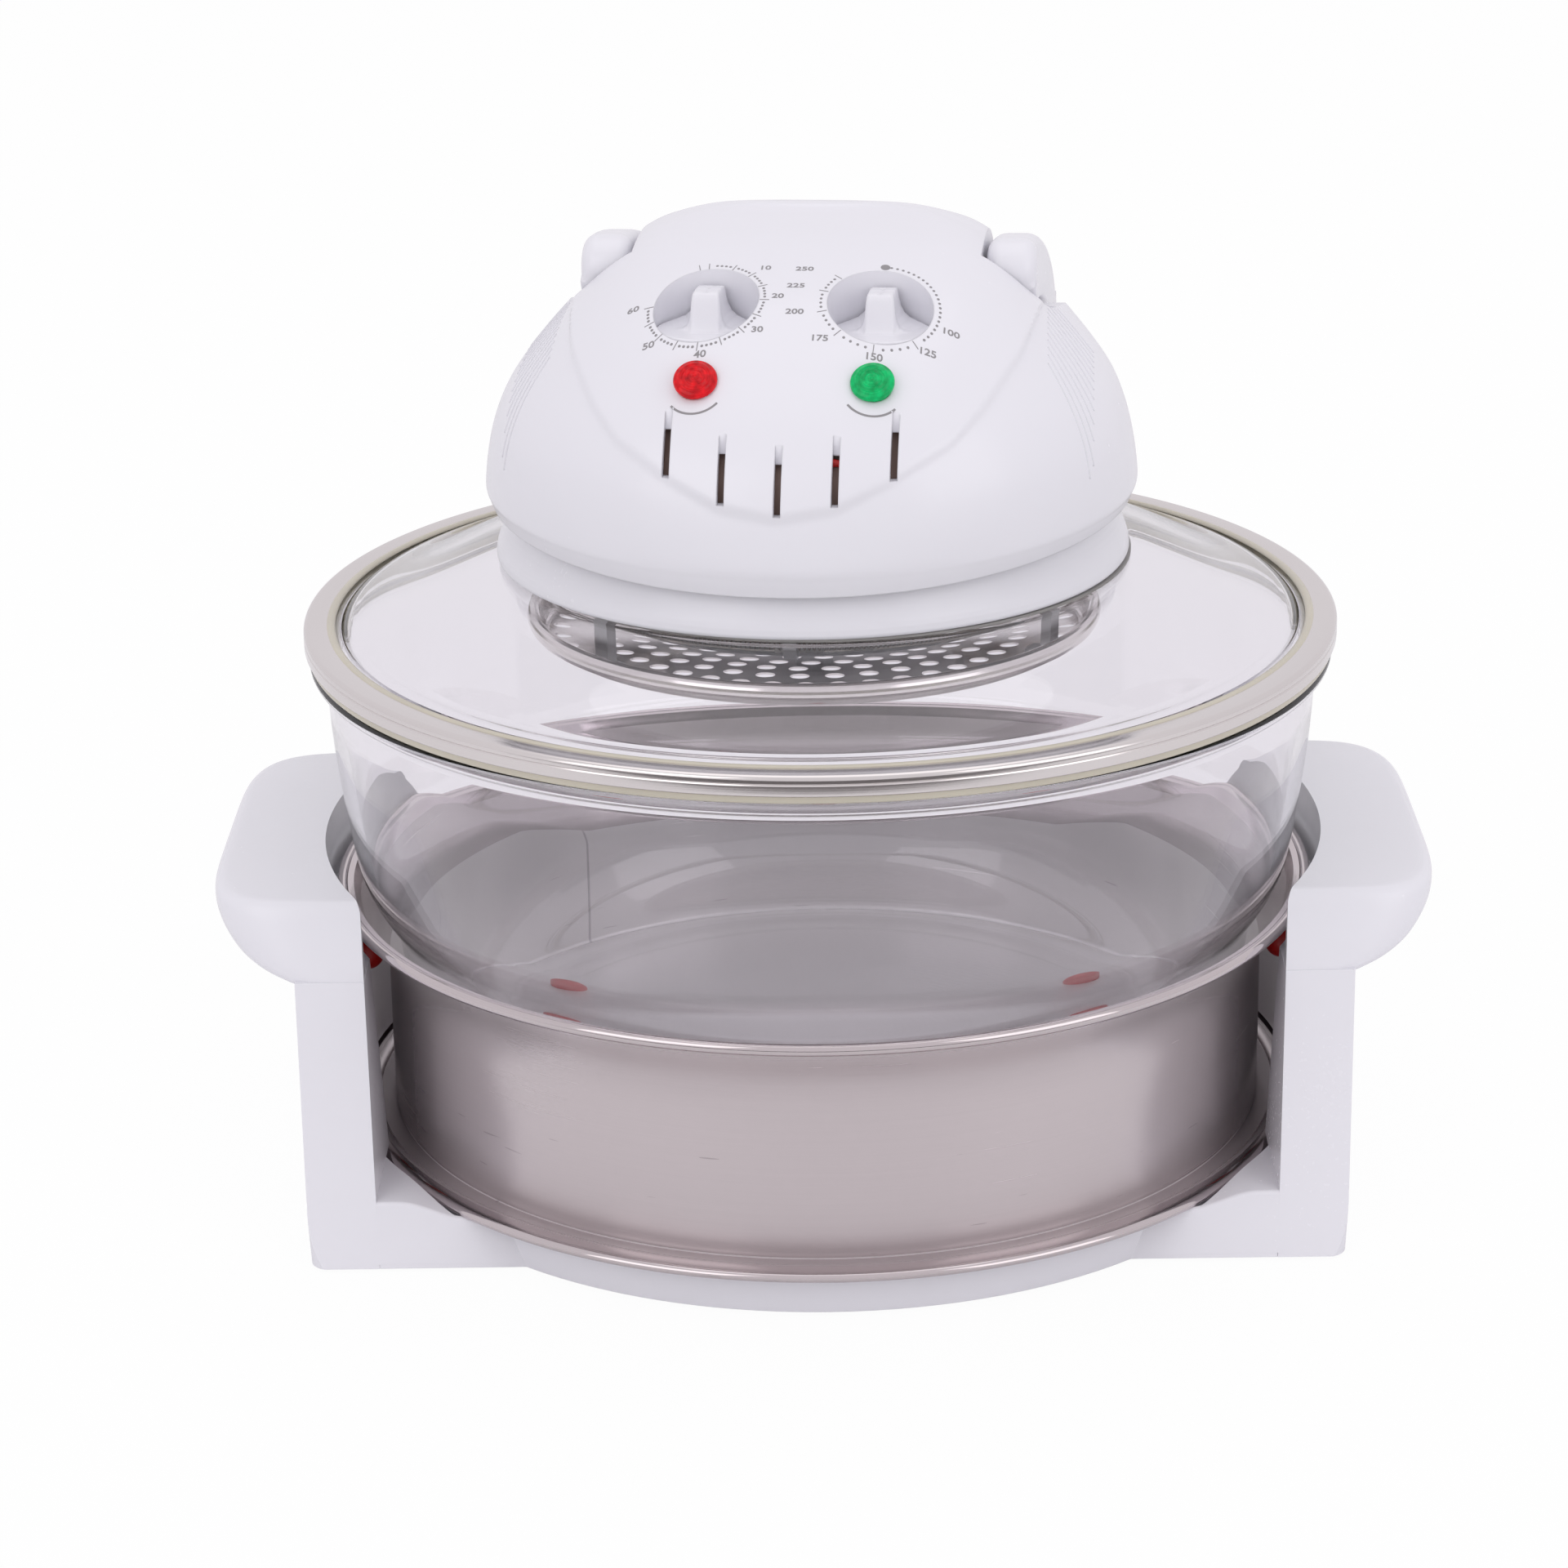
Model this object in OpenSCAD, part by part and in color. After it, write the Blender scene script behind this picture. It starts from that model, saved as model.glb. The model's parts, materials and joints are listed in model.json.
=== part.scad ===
// Halogen oven: a glass bowl in a steel drum on a two-handled plastic base,
// under a glass lid that carries the heating head.
// Millimetres. Z is up, the origin is on the table under the drum's axis, and the front is -Y.

/* [Head placing] */
// Turn of the head about its own axis, seen from above
lid_turn = -6; // [-30:1:30]
// Sideways seat of the head in the lid's hole
head_shift = -2; // [-2:0.5:2]

/* [Base] */
// How far an upright's outer face stands outside the drum's rim
leg_overhang = 2.5; // [1:0.5:8]
// Depth of the base at the table, front to back
frame_depth = 232; // [226:1:260]
// How far each end of an upright leans in, per millimetre of height
frame_lean = 0.4; // [0.3:0.02:0.44]
// Thickness of an upright at its front face
leg_width = 22; // [20:0.5:26]
// Rounding of the uprights' outer corners
leg_round = 7; // [3:0.5:10]
// Wall thickness of the plastic base pieces
base_wall = 2.8; // [2:0.1:3.5]
// Height of the base ring and its toes above the table
ring_height = 14; // [12:0.5:18]
// How far the base ring stands out from under the drum's wall
ring_overhang = 4.5; // [3:0.5:6]
// Distance from an upright's outer face to the inner end of its toe
toe_reach = 72; // [62:1:80]
// How far the rubber feet stand out below the base
foot_drop = 1; // [0.6:0.1:3]

/* [Handles] */
// How far a side handle stands out from its upright
handle_reach = 33.5; // [28:0.5:42]
// Thickness of a side handle
handle_height = 25; // [22:0.5:32]
// Gap between a side handle and the drum's rim
handle_gap = 3.1; // [1.5:0.1:5]

/* [Drum] */
// How far the drum's wall stands inside the bowl's greatest radius
drum_inset = 15.5; // [14:0.5:19]
// How far the drum's rim flares out from its wall
drum_flare = 16; // [14.5:0.5:17.5]
// Height of the drum, floor to rim
drum_height = 79; // [77:0.5:90]
// Thickness of the drum's sheet steel
drum_sheet = 0.8; // [0.6:0.1:1.2]
// How far the rolled lip at the drum's foot stands out from its wall
drum_lip_reach = 13.8; // [10.5:0.1:14.5]

/* [Bowl] */
// Height of the glass bowl
bowl_height = 150; // [148:0.5:170]
// Outer radius of the bowl's wall under its rim, which the drum, base and lid follow
bowl_r = 161; // [140:0.5:180]
// How far the bowl's rim stands out from its wall
bowl_flare = 5.5; // [4:0.5:9]
// Thickness of the bowl's wall
bowl_wall = 4; // [3:0.5:5]
// Height of the silicone pads that carry the bowl
pad_height = 6.7; // [5:0.1:9]

/* [Lid] */
// How far the lid's steel band stands out beyond the bowl's rim
band_overhang = 1.5; // [0.5:0.5:4]
// Height of the steel band
band_height = 5.4; // [5:0.1:9]
// Thickness of the band's sheet steel
band_sheet = 0.8; // [0.5:0.1:1]
// Width of the band's top flange
band_flange = 9; // [6:0.5:12]
// Thickness of the lid's glass
lid_glass_t = 3.5; // [3:0.1:4]
// Rise of the lid's glass, from its rim to the head
lid_rise = 21; // [16:0.5:30]
// Thickness of the gasket between the lid and the bowl
gasket_t = 3.7; // [2.5:0.1:5]

/* [Head] */
// Outer radius of the collar under the head
collar_r = 102.6; // [100:0.1:104]
// Height of the collar, up to the housing
collar_height = 17; // [15:0.5:22]
// Greatest half width of the head's housing
head_r = 105; // [103:0.5:112]
// Height of the head's housing
head_height = 95; // [93:1:110]
// Wall thickness of the housing
head_wall = 2.5; // [2:0.1:3]
// Radius of a knob's well
well_r = 16.4; // [15.5:0.1:17.5]
// Distance between the two knobs
knob_pitch = 54; // [50:0.5:58]
// How far the knobs stand in front of the head's axis
knob_front = 48; // [46:0.5:52]
// Height of a knob's grip above its disc
knob_grip = 11.5; // [9:0.5:14]
// Distance between the two lamps
lamp_pitch = 54; // [44:0.5:60]
// Radius of a lamp's lens
lamp_r = 6.8; // [5:0.1:8]
// Distance between the front vents
vent_pitch = 17.3; // [14:0.1:20]
// Width of a vent
vent_width = 2.2; // [1.5:0.1:4]
// Length of a vent
vent_length = 13.5; // [8:0.5:18]

/* [Carry handle] */
// Half the width of the housing's ridge between the handle's arms
ridge_half = 55.5; // [52:0.5:58]
// Width of one arm of the carry handle
arm_width = 16; // [12:0.5:18]
// Thickness of the carry handle's arms
arm_height = 21; // [16:0.5:24]
// Gap between the carry handle and the housing
arm_gap = 1.2; // [0.8:0.1:2]

/* [Heater and fan] */
// Radius of the steel pan over the heater
pan_r = 84; // [80:0.5:85]
// Radius of the circle that the halogen tube follows
tube_ring_r = 67; // [62:0.5:70]
// Radius of the halogen tube
tube_r = 5; // [4:0.1:6]
// Radius of the circulation fan
fan_r = 50; // [40:0.5:54]
// Radius of the fan's shaft
shaft_r = 3; // [2.5:0.1:4]
// Outer radius of the guard under the heater
guard_r = 92.7; // [90:0.1:96]
// Drop from the lid's rim to the guard's plate
guard_drop = 7; // [4:0.5:12]
// Radius of the guard's holes
guard_hole_r = 3.1; // [2:0.1:3.8]
// Turn of the guard against the head
guard_turn = 12.5; // [0:0.5:60]

/* [Hidden] */

$fn = 96;
eps = 0.01;
// Clearance of a part that slides or turns in another
run = 0.05;
// Gap between pieces of different bodies that rest on each other
rest_gap = 0.3;
// Steps along a drawn curve
curve_steps = 10;

// Radii that follow the bowl, from its rim outwards and down to the base
bowl_rim_r = bowl_r + bowl_flare;
band_r = bowl_rim_r + band_overhang;
bowl_flat_r = bowl_r - 53;
drum_r = bowl_r - drum_inset;
drum_rim_r = drum_r + drum_flare;
drum_lip_r = drum_r + drum_lip_reach;
ring_r = drum_r + ring_overhang;

// Heights, from the table upwards
seat_z = foot_drop + ring_height + 1;
floor_z = seat_z + drum_sheet;
drum_top = seat_z + drum_height;
bowl_z = floor_z + pad_height + rest_gap;
bowl_top = bowl_z + bowl_height;
gasket_z = bowl_top + rest_gap;
band_z = gasket_z + gasket_t;
band_top = band_z + band_height;
glass_land_z = band_top + lid_rise - 1.6;
collar_gasket_t = 0.8;
collar_z = glass_land_z + collar_gasket_t;
plate_z = collar_z + base_wall;
housing_z = collar_z + collar_height;
head_top = housing_z - 3 + head_height;
guard_z = band_top - guard_drop;

// Side handles
cap_top = drum_top + 14;
cap_z = cap_top - handle_height;
cap_in_r = drum_rim_r + handle_gap;
leg_x = drum_rim_r + leg_overhang;
leg_in = leg_x - leg_width;
leg_bore_r = drum_r + 9.5;

// A point on a cubic curve with four control points
function bez(p, t) = pow(1 - t, 3) * p[0] + 3 * t * pow(1 - t, 2) * p[1]
    + 3 * t * t * (1 - t) * p[2] + pow(t, 3) * p[3];
// The cubic curve as points, its first point left out
function curve(p, n = curve_steps) = [for (i = [1:n]) bez(p, i / n)];
// A point on an ellipse around a centre
function arc(c, rx, ry, a0, a1, n = curve_steps) =
    [for (i = [0:n]) c + [rx * cos(a0 + (a1 - a0) * i / n), ry * sin(a0 + (a1 - a0) * i / n)]];
function unit(v) = v / norm(v);
// The left-hand normal of a path at a point
function side_of(p, i) = let (a = p[max(i - 1, 0)], b = p[min(i + 1, len(p) - 1)], d = unit(b - a))
    [-d[1], d[0]];
// A path thickened to its left
function strip(p, t) = concat(p, [for (i = [len(p) - 1:-1:0]) p[i] + t * side_of(p, i)]);

// A closed skin over a stack of rings with equal counts of points
module skin(rings) {
    n = len(rings[0]);
    m = len(rings);
    pts = [for (r = rings) each r];
    sides = [for (j = [0:m - 2]) for (i = [0:n - 1]) let (k = (i + 1) % n)
        each [[j * n + i, (j + 1) * n + i, (j + 1) * n + k], [j * n + i, (j + 1) * n + k, j * n + k]]];
    low = [[for (i = [0:n - 1]) i]];
    high = [[for (i = [n - 1:-1:0]) (m - 1) * n + i]];
    polyhedron(points = pts, faces = concat(sides, low, high));
}

// One ring of a rounded outline: half width, reach to the front and to the back, squareness
function ring(z, half, front, back, power, n = 48, rise = 0) = [for (i = [0:n - 1])
    let (a = 360 * i / n, c = cos(a), s = sin(a), q = 2 / power,
        x = half * sign(c) * pow(abs(c), q), h = pow(abs(s), q),
        y = (back - front) / 2 + sign(s) * h * (front + back) / 2)
    [x, y, z + rise * c * c]];

module at_head() {
    translate([head_shift, 0, 0]) rotate([0, 0, lid_turn]) children();
}

module both_sides() {
    children();
    mirror([1, 0, 0]) children();
}

module four_corners(x, y) {
    for (sx = [-1, 1]) for (sy = [-1, 1]) translate([sx * x, sy * y, 0]) children();
}

// Base: ring, toes, uprights and handles

toe_x = leg_x - toe_reach;
toe_back = 32;
screw_y = frame_depth / 2 - toe_back / 2;
screw_z = foot_drop + ring_height / 2;
screw_r = 2;
seat_r = ring_r - 20;
stud_r = 2;
stud_ring_r = seat_r + 8;

// The side view of the base, which leans in as it rises
module lean_profile(x0, x1, z0, z1, inset = 0) {
    half = frame_depth / 2 - inset;
    translate([x0, 0, 0]) rotate([90, 0, 90]) linear_extrude(x1 - x0)
        polygon([[-half + z0 * frame_lean, z0], [half - z0 * frame_lean, z0],
            [half - z1 * frame_lean, z1], [-half + z1 * frame_lean, z1]]);
}

module toe_block(inset, z1) {
    difference() {
        lean_profile(toe_x + inset, leg_in - inset, foot_drop, z1, inset);
        translate([0, 0, (foot_drop + z1) / 2])
            cube([leg_x * 2, frame_depth - 2 * (toe_back - inset), z1 * 2], center = true);
        cylinder(r = ring_r - base_wall / 2 + inset, h = ring_height * 3, center = true);
    }
}

module base_ring() {
    color([0.9, 0.9, 0.93]) difference() {
        union() {
            translate([0, 0, foot_drop]) difference() {
                cylinder(r = ring_r, h = ring_height - 1.2);
                translate([0, 0, -eps]) cylinder(r = ring_r - base_wall, h = ring_height);
            }
            difference() {
                translate([0, 0, seat_z - base_wall]) cylinder(r = ring_r - base_wall + eps, h = base_wall);
                cylinder(r = seat_r, h = seat_z + eps);
            }
            both_sides() difference() {
                toe_block(0, foot_drop + ring_height - 1.2);
                translate([0, 0, -base_wall]) toe_block(base_wall, foot_drop + ring_height - 1.2);
            }
            four_corners(leg_in - 7, screw_y) translate([0, 0, screw_z]) rotate([0, 90, 0])
                cylinder(r = 5, h = 13.9, center = true);
        }
        four_corners(leg_in - 6, screw_y) translate([0, 0, screw_z]) rotate([0, 90, 0])
            cylinder(r = screw_r, h = 20, center = true);
        for (a = [45:90:315]) rotate([0, 0, a]) translate([stud_ring_r, 0, 0])
            cylinder(r = stud_r + run, h = seat_z + eps);
    }
}

module upright_body(inset) {
    corner = max(leg_round - inset, 0.5);
    intersection() {
        lean_profile(leg_in + inset, leg_x - inset, foot_drop - inset, cap_z - inset, inset);
        linear_extrude(cap_z) union() {
            square([(leg_x - inset - corner) * 2, frame_depth], center = true);
            square([(leg_x - inset) * 2, frame_depth - 2 * (leg_round + frame_lean * 4)], center = true);
            for (sx = [-1, 1]) for (sy = [-1, 1])
                translate([sx * (leg_x - inset - corner), sy * (frame_depth / 2 - leg_round)])
                    circle(r = corner);
        }
    }
}

// The uprights are cut back below this height, to clear the lip at the drum's foot
lip_room_z = seat_z + 4;
bumper_r = 6.5;
bumper_turn = 9;
bumper_z = drum_top - 22;

module bumper_places() {
    for (side = [0, 180]) for (s = [-1, 1]) rotate([0, 0, side + s * bumper_turn])
        translate([0, 0, bumper_z]) rotate([0, 90, 0]) children();
}

module upright() {
    difference() {
        upright_body(0);
        difference() {
            upright_body(base_wall);
            cylinder(r = leg_bore_r + base_wall, h = cap_z * 3, center = true);
            cylinder(r = drum_lip_r + 1 + base_wall, h = lip_room_z + base_wall);
        }
        cylinder(r = leg_bore_r, h = cap_z * 3, center = true);
        cylinder(r = drum_lip_r + 1, h = lip_room_z);
        bumper_places() cylinder(r = bumper_r, h = leg_bore_r + 2);
        four_corners(leg_in, screw_y) translate([0, 0, screw_z]) rotate([0, 90, 0])
            cylinder(r = screw_r + run, h = 4 * base_wall, center = true);
        cap_screw_places() translate([0, 0, -base_wall - 1]) cylinder(r = screw_r + run, h = base_wall + 2);
    }
}

module left_upright() { color([0.92, 0.92, 0.95]) mirror([1, 0, 0]) upright(); }
module right_upright() { color([0.92, 0.92, 0.95]) upright(); }

// Height share, reach share and depth lost, from the handle's underside to its crown
cap_form = [[0, 0.42, 4], [0.1, 0.62, 0.8], [0.25, 0.79, 0], [0.45, 0.91, 0], [0.65, 0.98, 0],
    [0.82, 1, 0], [0.92, 0.985, 0.4], [0.98, 0.93, 1.2], [1, 0.86, 2.6]];
// How square the handle's outer corners are in plan, 2 for an ellipse
cap_square = 5;
// The screws that hold a cap stand outside the room the drum's rim takes
cap_screw_x = leg_x - base_wall - 5;
cap_screw_y = sqrt(pow(cap_in_r + 4, 2) - pow(cap_screw_x, 2));

function cap_ring(f, inset) = let (z = cap_z + inset + f[0] * (handle_height - 2 * inset),
        out = leg_x + f[1] * handle_reach - inset,
        back = (frame_depth / 2 - frame_lean * z) - f[2] - inset, n = 40)
    [for (i = [0:n - 1]) let (a = 360 * i / n, c = cos(a), s = sin(a), q = c > 0 ? 2 / cap_square : 2 / 9)
        [leg_in + 4 + sign(c) * pow(abs(c), q) * (c > 0 ? out - leg_in - 4 : 12 - inset),
            back * sign(s) * pow(abs(s), q), z]];

module cap_screw_places() {
    for (sy = [-1, 1]) translate([cap_screw_x, sy * cap_screw_y, cap_z]) children();
}

module handle_cap() {
    difference() {
        skin([for (f = cap_form) cap_ring(f, 0)]);
        difference() {
            union() {
                skin([for (f = cap_form) cap_ring(f, base_wall)]);
                translate([leg_in + base_wall, -cap_screw_y - 8, cap_z - 1])
                    cube([leg_width - 2 * base_wall, 2 * cap_screw_y + 16, base_wall + 2]);
            }
            cylinder(r = cap_in_r + base_wall, h = cap_top * 3, center = true);
            cap_screw_places() cylinder(r = 4.5, h = handle_height);
        }
        cylinder(r = cap_in_r, h = cap_top * 3, center = true);
        cap_screw_places() translate([0, 0, -1]) cylinder(r = screw_r, h = 15);
    }
}

module handle_screws() {
    color([0.7, 0.7, 0.72]) both_sides() cap_screw_places() translate([0, 0, -base_wall - 2.2]) {
        cylinder(r = 3.8, h = 2.2);
        cylinder(r = screw_r - run, h = base_wall + 2.2 + 13);
    }
}

module left_handle_cap() { color([0.92, 0.92, 0.95]) mirror([1, 0, 0]) handle_cap(); }
module right_handle_cap() { color([0.92, 0.92, 0.95]) handle_cap(); }

module rubber_feet() {
    plug = leg_width - 2 * base_wall - 2 * run;
    color([0.2, 0.2, 0.2]) four_corners(leg_x - leg_width / 2, frame_depth / 2 - 24) {
        translate([0, 0, foot_drop / 2]) cube([leg_width - 2, 26, foot_drop], center = true);
        translate([0, 0, foot_drop + 1.5 - eps]) cube([plug, 20, 3], center = true);
    }
}

module upright_screws() {
    color([0.7, 0.7, 0.72]) for (side = [0, 1]) mirror([side, 0, 0]) for (sy = [-1, 1])
        translate([leg_in, sy * screw_y, screw_z]) rotate([0, 90, 0]) {
            translate([0, 0, -11]) cylinder(r = screw_r - run, h = 11 + base_wall);
            translate([0, 0, base_wall]) cylinder(r = 3.8, h = 2.2);
        }
}

module side_bumpers() {
    tip = drum_r + 1.5;
    r = bumper_r - run;
    color([0.75, 0.05, 0.05]) bumper_places() rotate_extrude()
        polygon(concat([[0, leg_bore_r + 2], [r, leg_bore_r + 2]],
            arc([0, tip + r * 0.9], r, r * 0.9, 0, -90)));
}

// Drum

mouth_r = drum_rim_r - 6;

module drum() {
    r = drum_r;
    bend = 3;
    lip_z = seat_z + 0.6;
    wall = concat([[0, seat_z], [r - bend, seat_z]],
        curve([[r - bend, seat_z], [r - 1, seat_z], [r, seat_z + 1], [r, seat_z + bend]]),
        [[r, drum_top - 31]],
        curve([[r, drum_top - 31], [r, drum_top - 16], [mouth_r - 3, drum_top - 12],
            [mouth_r + 1, drum_top - 2]]),
        [[drum_rim_r - 3, drum_top - 1.6]]);
    lip = (drum_lip_r - r - 5) / 2;
    color([0.75, 0.72, 0.72]) difference() {
        rotate_extrude() {
            polygon(strip(wall, drum_sheet));
            translate([drum_rim_r - 1.9, drum_top - 1.9]) circle(r = 1.9, $fn = 24);
            polygon(arc([drum_lip_r - lip, lip_z], lip, 2.2, 0, 360, 24));
            polygon([[r - 4, seat_z + 0.1], [drum_lip_r - 2 * lip + 1, seat_z + 0.1],
                [drum_lip_r - 2 * lip + 1, seat_z + 0.9], [r - 4, seat_z + 0.7]]);
        }
        for (a = pad_turns) rotate([0, 0, a]) translate([pad_ring_r, 0, 0])
            cylinder(r = pad_stem_r, h = seat_z * 4, center = true);
    }
}

module drum_studs() {
    color([0.7, 0.7, 0.72]) for (a = [45:90:315]) rotate([0, 0, a])
        translate([stud_ring_r, 0, foot_drop + 3]) cylinder(r = stud_r, h = seat_z - foot_drop - 3);
}

module drum_nuts() {
    color([0.7, 0.7, 0.72]) for (a = [45:90:315]) rotate([0, 0, a])
        translate([stud_ring_r, 0, seat_z - base_wall - 3.2]) difference() {
            cylinder(r = 4, h = 3.2, $fn = 6);
            translate([0, 0, -1]) cylinder(r = stud_r, h = 6);
        }
}

pad_turns = [30, 150, 270];
pad_ring_r = bowl_flat_r - 1;
pad_r = 7;
pad_stem_r = 3;

module bowl_pads() {
    color([0.8, 0.1, 0.1]) for (a = pad_turns) rotate([0, 0, a]) translate([pad_ring_r, 0, 0]) {
        translate([0, 0, floor_z]) rotate_extrude()
            polygon(concat([[0, 0], [pad_r, 0]], curve([[pad_r, 0], [pad_r, pad_height * 0.7],
                [pad_r * 0.6, pad_height], [0, pad_height]])));
        translate([0, 0, seat_z - 3]) cylinder(r = pad_stem_r, h = 3 + drum_sheet + eps);
        translate([0, 0, seat_z - 3]) cylinder(r1 = 3.2, r2 = 5, h = 3);
    }
}

// Bowl

module glass_bowl() {
    z = bowl_z;
    top = bowl_top;
    neck = top - 16;
    knee = z + (top - z) * 0.54;
    low = z + (top - z) * 0.35;
    outside = concat([[0, z], [bowl_flat_r, z]],
        curve([[bowl_flat_r, z], [bowl_r - 32, z + 2], [bowl_r - 23, z + 22], [bowl_r - 19.2, low]]),
        curve([[bowl_r - 19.2, low], [bowl_r - 17, low + 12], [bowl_r - 9.5, knee - 14],
            [bowl_r - 6.6, knee]]),
        curve([[bowl_r - 6.6, knee], [bowl_r - 4, knee + 14], [bowl_r - 0.8, neck - 18], [bowl_r, neck]]),
        [[bowl_r + 0.6, top - 8]]);
    rim = concat(arc([bowl_rim_r - 2, top - 4], 2, 2, -90, 0, 6),
        arc([bowl_rim_r - 2, top - 2], 2, 2, 0, 90, 6),
        [[bowl_r - bowl_wall + 1.5, top]], arc([bowl_r - bowl_wall + 1.5, top - 1.5], 1.5, 1.5, 90, 170, 5));
    inside = [for (i = [len(outside) - 2:-1:1]) outside[i] + bowl_wall * side_of(outside, i)];
    color([0.85, 0.9, 0.92, 0.4]) rotate_extrude()
        polygon(concat(outside, rim, inside, [[0, z + bowl_wall]]));
}

// Lid

rim_out = band_r - 2.4;
rim_in = band_r - band_flange;
land_out = collar_r - 1.4;
land_in = pan_r + 2.5;
// Height of the glass rim above the band's lower edge
glass_lift = 0.7;

module lid_gasket() {
    color([0.9, 0.87, 0.75]) rotate_extrude() polygon(concat(
        [[rim_in - 2, gasket_z], [band_r - 2, gasket_z]],
        arc([band_r - 2, gasket_z + 1], 1, 1, -90, 0, 5), [[band_r - 1, band_z], [rim_out, band_z],
            [rim_out, band_z + glass_lift], [rim_in - 2, band_z + glass_lift]]));
}

module lid_glass() {
    z = band_z + glass_lift;
    top = glass_land_z - lid_glass_t;
    step = rim_in - 4;
    under = concat([[rim_out, z], [step, z]],
        curve([[step, z], [step - 1.5, z], [step - 2, z + 2.5], [step - 4, z + 3]], 5),
        curve([[step - 4, z + 3], [step - 22, z + 8.5], [land_out + 18, top - 1.2], [land_out, top]]),
        [[land_in, top]]);
    over = [for (i = [len(under) - 1:-1:0]) under[i] - lid_glass_t * side_of(under, i)];
    color([0.85, 0.9, 0.92, 0.4]) rotate_extrude() polygon(concat(under, over));
}

module glazing_seal() {
    z = band_z + glass_lift + lid_glass_t;
    top = band_top - band_sheet - run;
    out = band_r - band_sheet - run;
    color([0.9, 0.87, 0.75]) rotate_extrude()
        polygon([[rim_in + 1, z], [rim_out + run, z], [rim_out + run, band_z + 1.6], [out, band_z + 1.6],
            [out, top - 1.4], [out - 1.4, top], [rim_in + 1, top]]);
}

module lid_band() {
    r = band_r;
    section = concat([[rim_out + 0.2, band_z]], arc([r - 1.2, band_z + 1.2], 1.2, 1.2, -90, 0, 5),
        arc([r - 1.6, band_top - 1.6], 1.6, 1.6, 0, 90, 6),
        [[rim_in + 1, band_top], [rim_in, band_top - 0.3]]);
    color([0.8, 0.78, 0.78]) rotate_extrude() polygon(strip(section, band_sheet));
}

module collar_gasket() {
    color([0.9, 0.87, 0.8]) rotate_extrude()
        polygon([[land_in + 1, glass_land_z], [land_out, glass_land_z],
            [land_out, collar_z], [land_in + 1, collar_z]]);
}

// Head: collar, clamp, pan, heater and guard

boss_ring_r = collar_r - 11;
boss_r = 5;
boss_turns = [60, 120, 240, 300];
collar_neck_r = collar_r - 4.5;
collar_top = housing_z + 5;

module lower_collar() {
    outside = concat([[pan_r + run, collar_z], [collar_r - 1.5, collar_z]],
        arc([collar_r - 1.5, collar_z + 1.5], 1.5, 1.5, -90, 0, 5),
        curve([[collar_r, collar_z + 1.5], [collar_r - 0.2, collar_z + 7], [collar_neck_r, collar_z + 10],
            [collar_neck_r, collar_top]]));
    at_head() color([0.92, 0.92, 0.95]) difference() {
        union() {
            rotate_extrude() polygon(strip(outside, base_wall));
            for (a = boss_turns) rotate([0, 0, a]) translate([boss_ring_r, 0, plate_z - 1])
                cylinder(r = boss_r, h = collar_top - plate_z);
        }
        for (a = boss_turns) rotate([0, 0, a]) translate([boss_ring_r, 0, 0]) {
            cylinder(r = screw_r + 0.2, h = head_top);
            translate([0, 0, collar_z - eps]) cylinder(r = 3.9, h = 2.4);
        }
    }
}

module clamp_ring() {
    at_head() color([0.7, 0.68, 0.68]) translate([0, 0, glass_land_z - lid_glass_t - 4.7]) difference() {
        cylinder(r = pan_r + 9, h = 4.7);
        translate([0, 0, -1]) cylinder(r = pan_r + run, h = 8);
    }
}

pan_sheet = 0.8;
shield_z = plate_z;
pan_low = shield_z - 15;

module heat_shield() {
    at_head() color([0.8, 0.8, 0.8]) difference() {
        translate([0, 0, shield_z]) cylinder(r = pan_r + 4, h = pan_sheet);
        translate([0, 0, shield_z - 1]) cylinder(r = shaft_r + 3, h = 4);
        for (a = boss_turns) rotate([0, 0, a]) translate([boss_ring_r, 0, shield_z - 1])
            cylinder(r = boss_r + 0.3, h = 4);
        for (a = bracket_turns) rotate([0, 0, a]) translate([post_ring_r, 0, shield_z - 1])
            cylinder(r = screw_r, h = 4);
    }
    at_head() color([0.8, 0.8, 0.8]) translate([0, 0, pan_low]) difference() {
        cylinder(r = pan_r, h = shield_z - pan_low + eps);
        translate([0, 0, -1]) cylinder(r = pan_r - pan_sheet, h = shield_z - pan_low + 3);
    }
}

tube_z = pan_low + 2;
tube_gap = 30;

module halogen_tube() {
    at_head() color([0.95, 0.93, 0.85, 0.6]) translate([0, 0, tube_z]) rotate([0, 0, 90 + tube_gap / 2])
        rotate_extrude(angle = 360 - tube_gap) translate([tube_ring_r, 0]) circle(r = tube_r, $fn = 32);
}

module ceramic_ends() {
    at_head() color([0.93, 0.92, 0.88]) for (s = [-1, 1]) rotate([0, 0, 90 + s * (tube_gap / 2 - 4)])
        translate([tube_ring_r, 0, (tube_z - tube_r - 1 + shield_z) / 2])
            cube([12, 8.6, shield_z - tube_z + tube_r + 1], center = true);
}

module tube_clips() {
    at_head() color([0.8, 0.8, 0.8]) for (a = [200, 270, 340]) rotate([0, 0, a]) {
        translate([tube_ring_r, 0, tube_z]) rotate([90, 0, 0]) difference() {
            cylinder(r = tube_r + 1.2, h = 4, center = true);
            cylinder(r = tube_r + 0.2, h = 6, center = true);
        }
        translate([tube_ring_r, 0, (tube_z + tube_r + 0.5 + shield_z) / 2])
            cube([1, 4, shield_z - tube_z - tube_r - 0.5], center = true);
    }
}

module sensor_bulb() {
    z = shield_z - 3.5;
    at_head() color([0.75, 0.6, 0.5]) {
        translate([0, 0, z]) rotate([0, 0, 20]) rotate_extrude(angle = 55)
            translate([pan_r - 6, 0]) circle(r = 2.2, $fn = 24);
        for (a = [28, 66]) rotate([0, 0, a]) translate([pan_r - 6, 0, shield_z - 0.8])
            cube([6, 3, 1.6], center = true);
    }
}

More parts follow.
